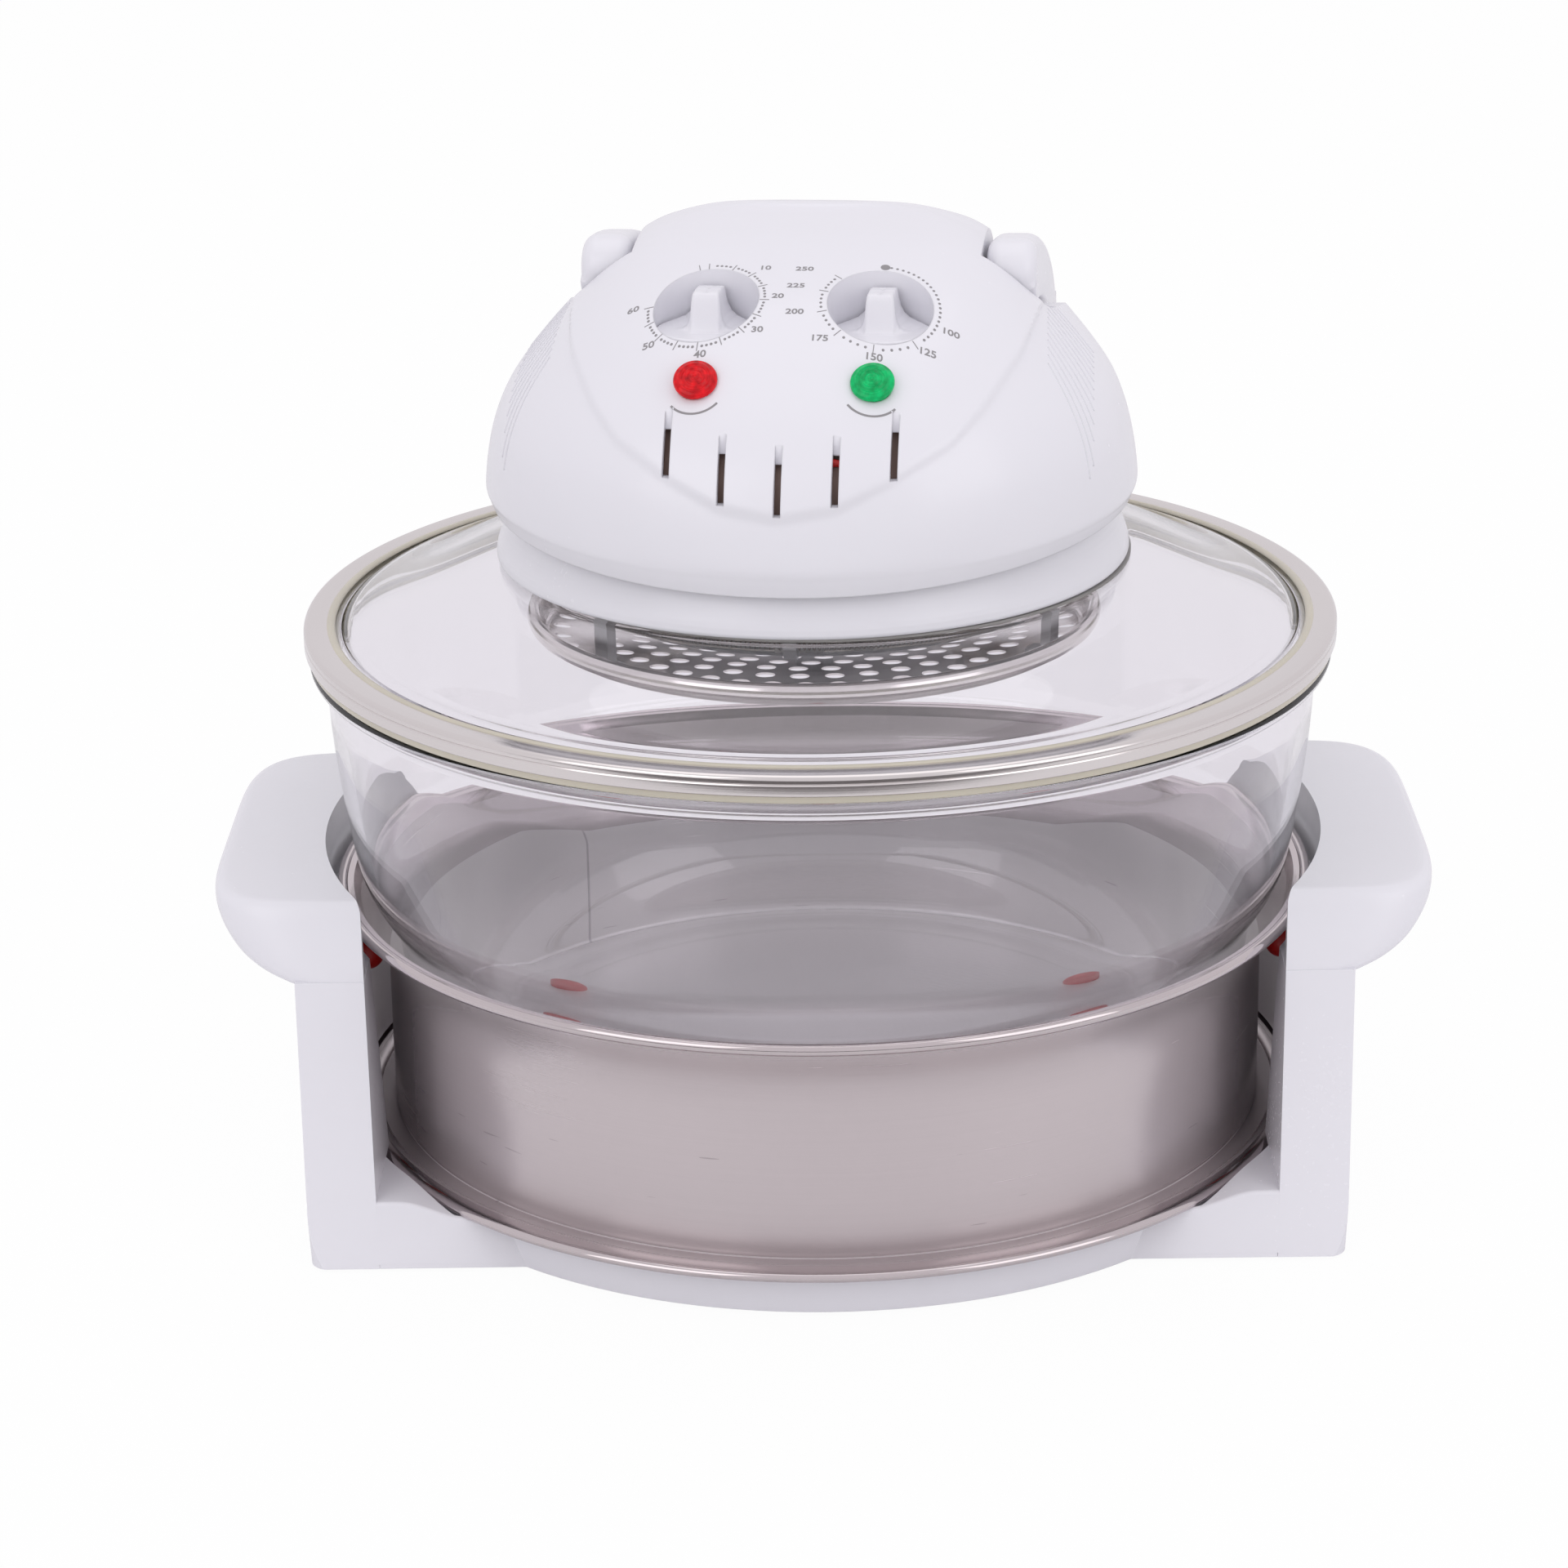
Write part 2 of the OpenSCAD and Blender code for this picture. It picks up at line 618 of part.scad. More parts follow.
// Rings of holes: share of the guard's radius, and how many
guard_rings = [[0.879, 40], [0.717, 40], [0.604, 32], [0.496, 28], [0.394, 22], [0.28, 16], [0.173, 10]];

module guard_grille() {
    r = guard_r;
    path = concat([[3, guard_z], [r - 7, guard_z]],
        curve([[r - 7, guard_z], [r - 4.5, guard_z], [r - 3.6, guard_z + 3], [r - 2.6, guard_z + 7.4]], 6));
    at_head() color([0.6, 0.6, 0.6]) rotate([0, 0, guard_turn]) difference() {
        rotate_extrude() {
            polygon(strip(path, pan_sheet));
            translate([r - 2.4, guard_z + 5.6]) polygon(arc([0, 0], 2.4, 3.2, 0, 360, 20));
        }
        for (g = guard_rings) for (i = [0:g[1] - 1]) rotate([0, 0, 360 * i / g[1]])
            translate([g[0] * r, 0, guard_z - 1]) cylinder(r = guard_hole_r, h = 3, $fn = 24);
    }
}

guard_feet = [90, 210, 330];

module guard_brackets() {
    top = pan_low + 6;
    low = guard_z + pan_sheet;
    at_head() color([0.75, 0.75, 0.75]) for (a = guard_feet) rotate([0, 0, a + guard_turn])
        translate([pan_r - pan_sheet - 0.5, 0, low]) {
            for (s = [-1, 1]) translate([-1.5, s * 3.1, (top - low) / 2])
                cube([3, 0.8, top - low], center = true);
            translate([0, 0, (top - low) / 2]) cube([0.8, 7, top - low], center = true);
            translate([-4, 0, 0.4]) cube([8.6, 7, 0.8], center = true);
        }
}

// Housing

// Height share, half width, reach to the front, reach to the back and squareness, as shares of head_r
head_form = [[0, 0.983, 0.99, 0.985, 2.05], [0.05, 0.994, 0.998, 0.994, 2.05], [0.1, 1, 1, 1, 2.05],
    [0.227, 0.988, 0.978, 0.985, 2.1], [0.332, 0.967, 0.948, 0.965, 2.15], [0.432, 0.935, 0.9, 0.94, 2.2],
    [0.526, 0.893, 0.838, 0.91, 2.25], [0.638, 0.828, 0.739, 0.865, 2.35], [0.725, 0.757, 0.64, 0.82, 2.45],
    [0.822, 0.66, 0.476, 0.755, 2.6], [0.906, 0.55, 0.263, 0.68, 2.8], [0.95, 0.46, 0.103, 0.61, 2.9],
    [0.983, 0.33, -0.1, 0.51, 2.9], [1, 0.18, -0.26, 0.42, 2.6]];
// How far the housing's lower edge rises towards the sides
edge_rise = 6;

function head_rings(inset, lift = 0) = [for (i = [0:len(head_form) - 1]) let (f = head_form[i],
        z = housing_z - 3 + f[0] * head_height)
    ring(z - inset * pow(f[0], 2) - lift * (i == 0 ? 1 : 0), f[1] * head_r - inset,
        f[2] * head_r - inset * (1 - pow(f[0], 3)), f[3] * head_r - inset, f[4],
        rise = edge_rise * max(0, 1 - i / 3))];

module dome(inset) {
    skin(head_rings(inset, inset > 0 ? 6 : 0));
}

// Where the carry handle turns, and the line its arms follow, as depth and height
pivot = [2, head_top - 18];
grip_at = [head_r + 8.5, head_top - 60];
arm_mid = arm_height / 2;
arm_line = concat([pivot], curve([pivot, pivot + [45, 3], grip_at + [-4, 34], grip_at + [0, 2]], 12));
arm_u = ridge_half + arm_gap + arm_width / 2;

arm_angle = atan2(side_of(arm_line, 0)[1], side_of(arm_line, 0)[0]);
function arm_over(extra) = [for (i = [0:len(arm_line) - 1])
    arm_line[i] + (arm_mid + extra) * side_of(arm_line, i)];
// The underside, from the grip to the pivot, a little thinner at the grip
function arm_under(extra) = [for (i = [len(arm_line) - 1:-1:0])
    arm_line[i] - (arm_mid + extra - max(0, i - 8) * 0.7) * side_of(arm_line, i)];

module arm_shape() {
    polygon(concat(arm_over(0), arm_under(0), arc(pivot, arm_mid, arm_mid, arm_angle + 175, arm_angle + 5)));
}

// The room an arm takes, opened upwards so that it can swing
module arm_room(extra, low = 0) {
    under = arm_under(arm_gap + low);
    r = arm_mid + arm_gap + low;
    far = pivot[0] + 2 * head_r;
    top = pivot[1] + head_height;
    both_sides() translate([ridge_half - extra, 0, 0]) rotate([90, 0, 90])
        linear_extrude(arm_width + 2 * arm_gap + extra + 40)
            polygon(concat([[far, under[0][1]]], under, arc(pivot, r, r, arm_angle + 170, 180),
                [[pivot[0] - r, top], [far, top]]));
}

lamp_front = head_r * 0.733;
lamp_z = housing_z - 3 + head_height * 0.633;
lamp_tilt = 42;
knob_z = housing_z - 3 + head_height * 0.733;
well_floor = knob_z - 7;
vent_top = [0.443, 0.364, 0.333];

module lamp_places() {
    for (s = [-1, 1]) translate([s * lamp_pitch / 2, -lamp_front, lamp_z])
        rotate([lamp_tilt, 0, 0]) children();
}

module knob_places() {
    for (s = [-1, 1]) translate([s * knob_pitch / 2, -knob_front, 0]) children();
}

module upper_housing() {
    wall = head_wall;
    at_head() color([0.93, 0.93, 0.96]) difference() {
        dome(0);
        difference() {
            dome(wall);
            arm_room(wall, wall);
            knob_places() translate([0, 0, well_floor - wall]) cylinder(r = well_r + wall, h = 60);
            for (a = boss_turns) rotate([0, 0, a]) translate([boss_ring_r, 0, collar_top])
                cylinder(r = boss_r, h = 60);
        }
        arm_room(0);
        knob_places() {
            translate([0, 0, well_floor]) cylinder(r = well_r, h = 80);
            translate([0, 0, well_floor - 10]) cylinder(r = shaft_r + 0.6, h = 20);
        }
        lamp_places() cylinder(r = lamp_r - 0.8, h = 40, center = true);
        for (i = [-2:2])
            translate([i * vent_pitch, -head_r, housing_z - 3 + head_height * vent_top[2 - abs(i)]])
            cube([vent_width, head_r * 0.6, vent_length], center = true);
        for (a = boss_turns) rotate([0, 0, a]) translate([boss_ring_r, 0, collar_top - 1])
            cylinder(r = screw_r, h = 20);
        translate([0, head_r, gland_z]) rotate([90, 0, 0])
            cylinder(r = gland_r + run, h = 30, center = true);
        both_sides() translate([ridge_half - wall - 1, pivot[0], pivot[1]]) rotate([0, 90, 0])
            cylinder(r = pin_r, h = wall + 2);
        translate([switch_u, switch_y, switch_top - 8]) cylinder(r = plunger_r + run, h = 12);
    }
}

module housing_screws() {
    at_head() color([0.7, 0.7, 0.72]) for (a = boss_turns)
        rotate([0, 0, a]) translate([boss_ring_r, 0, collar_z + 0.2]) {
            cylinder(r = 3.7, h = 2);
            cylinder(r = screw_r - run, h = collar_top - collar_z + 16);
        }
}

gland_r = 7;
gland_z = housing_z + 13;

module cord_gland() {
    y = head_r - 0.8;
    at_head() color([0.9, 0.9, 0.93]) translate([0, y, gland_z]) rotate([-90, 0, 0]) difference() {
        union() {
            translate([0, 0, -8]) cylinder(r = gland_r, h = 10);
            translate([0, 0, 1]) cylinder(r = gland_r + 2, h = 2.5);
            translate([0, 0, 3.5 - eps]) cylinder(r1 = gland_r, r2 = gland_r - 1.5, h = 4.5);
        }
        translate([0, 0, -9]) cylinder(r = 3.6, h = 20);
    }
}

// Motor, fans and shaft

bracket_turns = [0, 180];
post_ring_r = fan_r + 14;
strap_z = collar_top + 12;
stator_z = strap_z + 2.4;
stator_h = 22;
rotor_r = 15;

module motor_bracket() {
    at_head() color([0.75, 0.75, 0.75]) {
        difference() {
            translate([0, 0, strap_z + 1.2]) cube([post_ring_r * 2 + 12, 22, 2.4], center = true);
            translate([0, 0, strap_z - 1]) cylinder(r = shaft_r + run, h = 6);
        }
        for (a = bracket_turns) rotate([0, 0, a]) translate([post_ring_r, 0, shield_z]) {
            translate([0, 0, pan_sheet]) cylinder(r = 4, h = strap_z - shield_z - pan_sheet + eps);
            translate([0, 0, -1]) cylinder(r = screw_r - run, h = 1 + pan_sheet + eps);
            translate([0, 0, -1]) cylinder(r = 3.5, h = 1);
        }
        translate([0, 0, stator_z + stator_h]) difference() {
            translate([0, 0, 1.5]) cube([68, 14, 3], center = true);
            translate([0, 0, -1]) cylinder(r = shaft_r + run, h = 6);
        }
        for (s = [-1, 1]) translate([s * 33, 0, (strap_z + stator_z + stator_h + 3) / 2])
            cube([2, 14, stator_z + stator_h + 3 - strap_z], center = true);
    }
}

module motor_stator() {
    at_head() color([0.55, 0.5, 0.45]) translate([0, 0, stator_z]) {
        difference() {
            translate([0, 4, stator_h / 2]) cube([60, 50, stator_h], center = true);
            translate([0, 0, -1]) cylinder(r = rotor_r + 0.5, h = stator_h + 2);
            translate([0, 22.5, stator_h / 2]) cube([34, 5, stator_h + 2], center = true);
        }
        translate([0, 28, stator_h / 2]) cube([30, 12, stator_h - 2], center = true);
    }
}

fan_low = pan_low - 3;
nut_z = fan_low - 5;

module motor_shaft() {
    at_head() color([0.75, 0.75, 0.75]) {
        translate([0, 0, nut_z - 1]) cylinder(r = shaft_r, h = stator_z + stator_h + 6 - nut_z);
        translate([0, 0, stator_z + 1]) cylinder(r = rotor_r, h = stator_h - 2);
    }
}

module bladed_wheel(r, height, blades, hub, hub_h, sweep) {
    difference() {
        union() {
            cylinder(r = r - 4, h = 1.2);
            cylinder(r = hub, h = hub_h);
            for (i = [0:blades - 1]) rotate([0, 0, 360 * i / blades]) translate([hub + 5, 0, 0])
                rotate([0, 0, sweep]) translate([0, -0.6, 0]) cube([(r - hub - 6), 1.2, height]);
        }
        translate([0, 0, -1]) cylinder(r = shaft_r, h = hub_h + height + 2);
    }
}

module cooling_fan() {
    at_head() color([0.3, 0.3, 0.32]) translate([0, 0, plate_z + 7])
        bladed_wheel(fan_r + 4, 9, 9, 9, 12, 18);
}

module circulation_fan() {
    at_head() color([0.8, 0.8, 0.82]) translate([0, 0, fan_low]) bladed_wheel(fan_r, 9, 10, 8, 7, 14);
}

module fan_nut() {
    at_head() color([0.7, 0.7, 0.72]) translate([0, 0, nut_z]) difference() {
        cylinder(r = 6, h = 5, $fn = 6);
        translate([0, 0, -1]) cylinder(r = shaft_r, h = 8);
    }
}

// Controls

control_z = well_floor - head_wall - 1.5;

module control_bracket() {
    at_head() color([0.75, 0.75, 0.75]) difference() {
        union() {
            translate([0, -knob_front + 4, control_z + 0.75])
                cube([knob_pitch + 32, 31, 1.5], center = true);
            translate([0, -knob_front + 18.7, control_z - 6]) cube([12, 1.5, 15], center = true);
        }
        knob_places() translate([0, 0, control_z - 1]) cylinder(r = 5, h = 4);
    }
}

module timer_body() {
    at_head() color([0.85, 0.85, 0.8]) translate([-knob_pitch / 2, -knob_front, control_z]) difference() {
        union() {
            translate([0, 4, -10]) cube([36, 28, 20], center = true);
            translate([0, 0, -eps]) cylinder(r = 4.9, h = 1.5);
        }
        translate([0, 0, -8]) cylinder(r = shaft_r + run, h = 20);
    }
}

module thermostat_body() {
    at_head() color([0.8, 0.78, 0.72]) translate([knob_pitch / 2, -knob_front, control_z]) difference() {
        union() {
            translate([0, 0, -18]) cylinder(r = 13.5, h = 18);
            translate([0, 0, -eps]) cylinder(r = 4.9, h = 1.5);
        }
        translate([0, 0, -8]) cylinder(r = shaft_r + run, h = 20);
    }
}

module control_shaft(side) {
    at_head() color([0.75, 0.75, 0.75]) translate([side * knob_pitch / 2, -knob_front, control_z - 7.8])
        cylinder(r = shaft_r, h = knob_z - control_z + 7.8 + 4.5);
}

module timer_shaft() { control_shaft(-1); }
module thermostat_shaft() { control_shaft(1); }

knob_r = well_r - 0.5;
grip_w = 8.4;

// A low disc with a tall cross bar whose flanks are scooped
module knob(side) {
    disc = knob_z - well_floor - 0.6;
    half = grip_w / 2;
    flank = [[half + 2.6, 0], [half + 0.9, 1.2], [half, 5], [half - 0.3, knob_grip - 1.2],
        [half - 1.3, knob_grip]];
    bar = concat(flank, [for (i = [len(flank) - 1:-1:0]) [-flank[i][0], flank[i][1]]]);
    at_head() color([0.93, 0.93, 0.96])
        translate([side * knob_pitch / 2, -knob_front, well_floor + 0.6]) difference() {
        union() {
            cylinder(r = knob_r, h = disc - 0.8);
            translate([0, 0, disc - 0.8]) cylinder(r1 = knob_r, r2 = knob_r - 0.8, h = 0.8);
            intersection() {
                translate([0, knob_r, disc - eps]) rotate([90, 0, 0]) linear_extrude(knob_r * 2)
                    polygon(bar);
                cylinder(r = knob_r - 0.8, h = disc + knob_grip + 1);
                translate([-knob_r, 0, 0]) rotate([90, 0, 90]) linear_extrude(knob_r * 2)
                    polygon(arc([0, disc - 1], knob_r - 0.2, knob_grip + 1, 0, 180, 24));
            }
        }
        translate([0, 0, -1]) cylinder(r = shaft_r, h = disc + 5.6);
    }
}

module timer_knob() { knob(-1); }
module thermostat_knob() { knob(1); }

module lens(side, tint) {
    at_head() color(tint) translate([side * lamp_pitch / 2, -lamp_front, lamp_z]) rotate([lamp_tilt, 0, 0]) {
        translate([0, 0, -6]) cylinder(r = lamp_r - 0.9, h = 7);
        translate([0, 0, 0.6]) rotate_extrude() polygon(concat([[0, 0], [lamp_r, 0], [lamp_r, 0.8]],
            curve([[lamp_r, 0.8], [lamp_r * 0.8, 1.9], [lamp_r * 0.4, 2.4], [0, 2.5]], 6)));
    }
}

module power_lens() { lens(-1, [0.75, 0.05, 0.08, 0.7]); }
module heat_lens() { lens(1, [0.05, 0.55, 0.25, 0.7]); }

module lamp_holders() {
    at_head() color([0.9, 0.9, 0.88]) lamp_places() translate([0, 0, -12.5])
        cylinder(r = lamp_r - 1.8, h = 6.5);
}

switch_u = arm_u;
switch_y = pivot[0] + 22;
plunger_r = 1.8;
switch_top = pivot[1] - arm_mid - arm_gap - head_wall - 0.5;
plunger_top = pivot[1] - arm_mid;

module safety_switch() {
    at_head() color([0.25, 0.25, 0.27]) translate([switch_u, switch_y, switch_top]) difference() {
        translate([0, 0, -6]) cube([8, 20, 12], center = true);
        translate([0, 0, -9]) cylinder(r = plunger_r + run, h = 12);
    }
}

module switch_plunger() {
    at_head() color([0.8, 0.2, 0.15]) translate([switch_u, switch_y, switch_top - 7])
        cylinder(r = plunger_r, h = plunger_top - switch_top + 7);
}

module terminal_block() {
    at_head() color([0.85, 0.85, 0.82]) translate([0, 72, plate_z + pan_sheet]) difference() {
        translate([0, 0, 6]) cube([36, 14, 12], center = true);
        for (i = [-1:1]) translate([i * 11, 0, 6]) rotate([90, 0, 0])
            cylinder(r = 2.2, h = 20, center = true);
    }
}

pin_r = 3;

module handle_pivots() {
    at_head() color([0.75, 0.75, 0.75]) both_sides()
        translate([ridge_half - head_wall, pivot[0], pivot[1]]) rotate([0, 90, 0]) {
            cylinder(r = pin_r, h = head_wall + arm_gap + arm_width - 4);
            translate([0, 0, -1.5]) cylinder(r = pin_r + 2, h = 1.5 + eps);
        }
}

module carry_handle() {
    at_head() color([0.93, 0.93, 0.96]) difference() {
        union() {
            both_sides() translate([ridge_half + arm_gap, 0, 0]) rotate([90, 0, 90])
                linear_extrude(arm_width) arm_shape();
            translate([-arm_u - arm_width / 2, grip_at[0], grip_at[1] + 2]) rotate([0, 90, 0])
                cylinder(r = arm_mid - 1.5, h = 2 * arm_u + arm_width);
        }
        both_sides() translate([ridge_half - 1, pivot[0], pivot[1]]) rotate([0, 90, 0])
            cylinder(r = pin_r + run, h = arm_gap + arm_width - 2.5);
    }
}

base_ring();
left_upright();
right_upright();
left_handle_cap();
right_handle_cap();
handle_screws();
rubber_feet();
upright_screws();
side_bumpers();
drum();
drum_studs();
drum_nuts();
bowl_pads();
glass_bowl();
lid_gasket();
lid_glass();
glazing_seal();
lid_band();
collar_gasket();
lower_collar();
clamp_ring();
heat_shield();
halogen_tube();
ceramic_ends();
tube_clips();
sensor_bulb();
guard_grille();
guard_brackets();
upper_housing();
housing_screws();
motor_bracket();
motor_stator();
control_bracket();
timer_body();
thermostat_body();
power_lens();
heat_lens();
lamp_holders();
safety_switch();
terminal_block();
cord_gland();
handle_pivots();
motor_shaft();
cooling_fan();
circulation_fan();
fan_nut();
timer_shaft();
timer_knob();
thermostat_shaft();
thermostat_knob();
carry_handle();
switch_plunger();
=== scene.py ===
import json
import math
from contextlib import contextmanager

import bmesh
import bpy
import numpy as np
from mathutils import Matrix, Vector
from mathutils.bvhtree import BVHTree


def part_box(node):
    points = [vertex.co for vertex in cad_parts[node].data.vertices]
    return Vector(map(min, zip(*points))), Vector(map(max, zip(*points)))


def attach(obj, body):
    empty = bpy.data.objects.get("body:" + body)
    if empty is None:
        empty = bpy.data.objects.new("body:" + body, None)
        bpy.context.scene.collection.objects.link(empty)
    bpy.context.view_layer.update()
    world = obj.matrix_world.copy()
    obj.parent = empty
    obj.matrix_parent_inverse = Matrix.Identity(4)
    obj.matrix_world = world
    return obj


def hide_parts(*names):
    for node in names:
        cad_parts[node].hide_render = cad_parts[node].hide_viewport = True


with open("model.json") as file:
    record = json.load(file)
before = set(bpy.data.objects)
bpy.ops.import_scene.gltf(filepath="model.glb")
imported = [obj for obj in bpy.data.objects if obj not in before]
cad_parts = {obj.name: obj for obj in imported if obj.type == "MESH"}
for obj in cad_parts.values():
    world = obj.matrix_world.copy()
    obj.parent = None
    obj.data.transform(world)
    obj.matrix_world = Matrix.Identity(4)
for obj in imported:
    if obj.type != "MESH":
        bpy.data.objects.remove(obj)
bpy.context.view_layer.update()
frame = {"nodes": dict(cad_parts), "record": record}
print("frame loaded,", len(frame["nodes"]), "nodes")


# Node graphs, for materials and for geometry

class Wire:
    # a socket that takes part in sums
    def __init__(self, graph, socket):
        self.graph, self.socket = graph, socket

    def maths(self, operation, *others):
        values = dict(enumerate((self, *others)))
        return self.graph.node("ShaderNodeMath", {"operation": operation}, values)

    def __add__(self, other):
        return self.maths("ADD", other)

    __radd__ = __add__

    def __sub__(self, other):
        return self.maths("SUBTRACT", other)

    def __rsub__(self, other):
        return self.maths("MULTIPLY_ADD", -1, other)

    def __mul__(self, other):
        return self.maths("MULTIPLY", other)

    __rmul__ = __mul__

    def __truediv__(self, other):
        return self.maths("DIVIDE", other)

    def __mod__(self, other):
        return self.maths("FLOORED_MODULO", other)

    def above(self, edge):
        return self.maths("GREATER_THAN", edge)

    def below(self, edge):
        return self.maths("LESS_THAN", edge)


class Graph:
    def __init__(self, tree):
        self.tree = tree

    def node(self, kind, settings=None, sockets=None, out=0):
        made = self.tree.nodes.new(kind)
        for name, value in (settings or {}).items():
            setattr(made, name, value)
        for name, value in (sockets or {}).items():
            if isinstance(value, Wire):
                self.tree.links.new(value.socket, made.inputs[name])
            elif value is not None:
                made.inputs[name].default_value = value
        return Wire(self, made.outputs[out])

    def vector(self, operation, *values):
        return self.node("ShaderNodeVectorMath", {"operation": operation}, dict(enumerate(values)))

    def parts(self, vector):
        split = self.node("ShaderNodeSeparateXYZ", {}, {0: vector})
        return [Wire(self, socket) for socket in split.socket.node.outputs]


class Finish(Graph):
    # a material around one main shader; its constants sit on the shader's own sockets
    def __init__(self, name, constants):
        self.material = bpy.data.materials.new(name)
        self.material.use_nodes = True
        super().__init__(self.material.node_tree)
        self.shader = self.tree.nodes["Principled BSDF"]
        self.place = self.node("ShaderNodeTexCoord", out=3)
        for label, value in constants.items():
            self.shader.inputs[label].default_value = value

    def noise(self, scale, detail=2.0, stretch=(1, 1, 1)):
        return self.node("ShaderNodeTexNoise", {}, {
            "Vector": self.vector("MULTIPLY", self.place, stretch), "Scale": scale, "Detail": detail})

    def mix(self, share, first, second):
        return self.node("ShaderNodeMix", {"data_type": "RGBA"}, {0: share, 6: first, 7: second}, out=2)

    def bump(self, height, distance, strength=1.0, base=None):
        return self.node("ShaderNodeBump", {}, {
            "Height": height, "Distance": distance, "Strength": strength, "Normal": base})

    def feed(self, **links):
        for label, value in links.items():
            self.tree.links.new(value.socket, self.shader.inputs[label.replace("_", " ")])
        return self.material


# Finishes

# Zones of the drum in metres: floor, inner wall and polished lip, its turned rings and its welded seam
zones = {"floorTop": 0.0172, "floorR": 0.143, "insideR": 0.1451, "insideLow": 0.0165, "polishR": 0.1538,
         "nicksTop": 0.05, "rings": 2350, "seam": 0.0005, "seamAngle": math.radians(127)}


def plasticFinish(name, colour, gloss, edge=0.0007):
    made = Finish(name, {"IOR": 1.5})
    cloud = made.noise(9.0, 3.0)
    fine = made.noise(620.0, 2.0)
    soft = made.node("ShaderNodeBevel", {"samples": 4}, {"Radius": edge}) if edge else None
    low = tuple(0.975 * c for c in colour)
    return made.feed(
        Base_Color=made.mix(cloud, (*low, 1), (*colour, 1)),
        Roughness=fine * 0.05 + cloud * 0.06 + gloss,
        Normal=made.bump(fine, 0.00003, 0.5, soft))


def steelFinish(name, colour, streak, gloss, ringed=False):
    made = Finish(name, {
        "Metallic": 1.0, "Anisotropic": 0.82 if ringed else 0.3, "Anisotropic Rotation": 0.25})
    lines = made.noise(1.0, 3.0, (9, 9, 2600))
    wide = made.noise(1.0, 2.0, (5, 5, 420))
    cloud = made.noise(14.0, 4.0)
    dark = tuple(0.9 * c for c in colour)
    body = made.mix(lines * 0.5 + wide * 0.15 + cloud * 0.35, (*dark, 1), (*colour, 1))
    grain = lines * streak
    rough = lines * 0.06 + cloud * 0.05 + gloss
    links = {}
    if ringed:
        x, y, z = made.parts(made.place)
        radius = (x * x + y * y).maths("SQRT")
        floor = z.below(zones["floorTop"]) * radius.below(zones["floorR"])
        inside = radius.below(zones["insideR"]) * z.above(zones["insideLow"])
        hollow = (floor + inside).maths("MINIMUM", 1.0)
        turned = (radius * zones["rings"]).maths("SINE")
        polish = radius.above(zones["polishR"])
        grain = grain * (1 - polish) * (1 - floor) + turned * floor * 0.35
        rough = rough * (1 - polish * 0.6) + floor * 0.12
        # painted light: the drum's floor and inner wall get a paler base colour, standing in for light that
        # barely reaches inside the drum
        body = made.mix(hollow * 0.8, body, (0.93, 0.9, 0.91, 1))
        seam = x * math.sin(zones["seamAngle"]) - y * math.cos(zones["seamAngle"])
        seam = seam.maths("ABSOLUTE").below(zones["seam"]) * y.above(0) * inside
        seam = seam * radius.above(zones["floorR"])
        nicks = made.noise(1.0, 1.0, (55, 55, 900)).above(0.77) * z.below(zones["nicksTop"]) * (1 - floor)
        body = made.mix(nicks * 0.4 + seam * 0.5, body, (0.2, 0.19, 0.19, 1))
        grain = grain - nicks * 0.6 - seam
        # painted light: the floor and inner wall also get less metal, so the lamps light them like a pale
        # surface and they read brighter
        links["Metallic"] = 0.64 - hollow * 0.16 + polish * 0.33
    return made.feed(Base_Color=body, Roughness=rough, Normal=made.bump(grain, 0.00006, 0.6), **links)


def glassFinish(name, tint):
    made = Finish(name, {"Base Color": (*tint, 1), "Transmission Weight": 1.0, "IOR": 1.47})
    haze = made.noise(30.0, 3.0)
    rain = made.noise(60.0, 1.0)
    made.feed(Roughness=haze * 0.006, Normal=made.bump(rain, 0.00001, 0.2))
    clear = made.node("ShaderNodeBsdfTransparent", {}, {"Color": (0.96, 0.965, 0.965, 1)})
    path = made.node("ShaderNodeLightPath").socket.node
    shade, diffuse = [Wire(made, path.outputs["Is %s Ray" % kind]) for kind in ("Shadow", "Diffuse")]
    bare = shade.maths("MAXIMUM", diffuse)
    both = made.node("ShaderNodeMixShader", {}, {0: bare, 1: Wire(made, made.shader.outputs[0]), 2: clear})
    made.tree.links.new(both.socket, made.tree.nodes["Material Output"].inputs[0])
    return made.material


def rubberFinish(name, colour, gloss, glow=0.0):
    made = Finish(name, {"Subsurface Weight": glow, "Subsurface Radius": (0.004, 0.003, 0.002)})
    cloud = made.noise(45.0, 4.0)
    grit = made.noise(1500.0, 2.0)
    low = tuple(0.82 * c for c in colour)
    return made.feed(Base_Color=made.mix(cloud, (*low, 1), (*colour, 1)), Roughness=cloud * 0.12 + gloss,
                     Normal=made.bump(grit, 0.00004, 0.5))


def metalFinish(name, colour, gloss, scale=90.0):
    made = Finish(name, {"Metallic": 1.0})
    cloud = made.noise(scale, 5.0)
    grit = made.noise(scale * 9, 2.0)
    low = tuple(0.72 * c for c in colour)
    return made.feed(Base_Color=made.mix(cloud, (*low, 1), (*colour, 1)), Roughness=cloud * 0.25 + gloss,
                     Normal=made.bump(grit, 0.00005, 0.4))


def lensFinish(name, dark, light):
    # painted glow: the lenses give off a faint light in their own colour, though nothing lights them from
    # inside
    made = Finish(name, {"IOR": 1.45, "Specular IOR Level": 0.3, "Emission Strength": 0.12})
    cloud = made.noise(420.0, 2.0)
    body = made.mix(cloud * 1.7 - 0.35, (*dark, 1), (*light, 1))
    return made.feed(Base_Color=body, Emission_Color=body, Roughness=cloud * 0.08 + 0.06,
                     Normal=made.bump(cloud, 0.0002, 0.25))


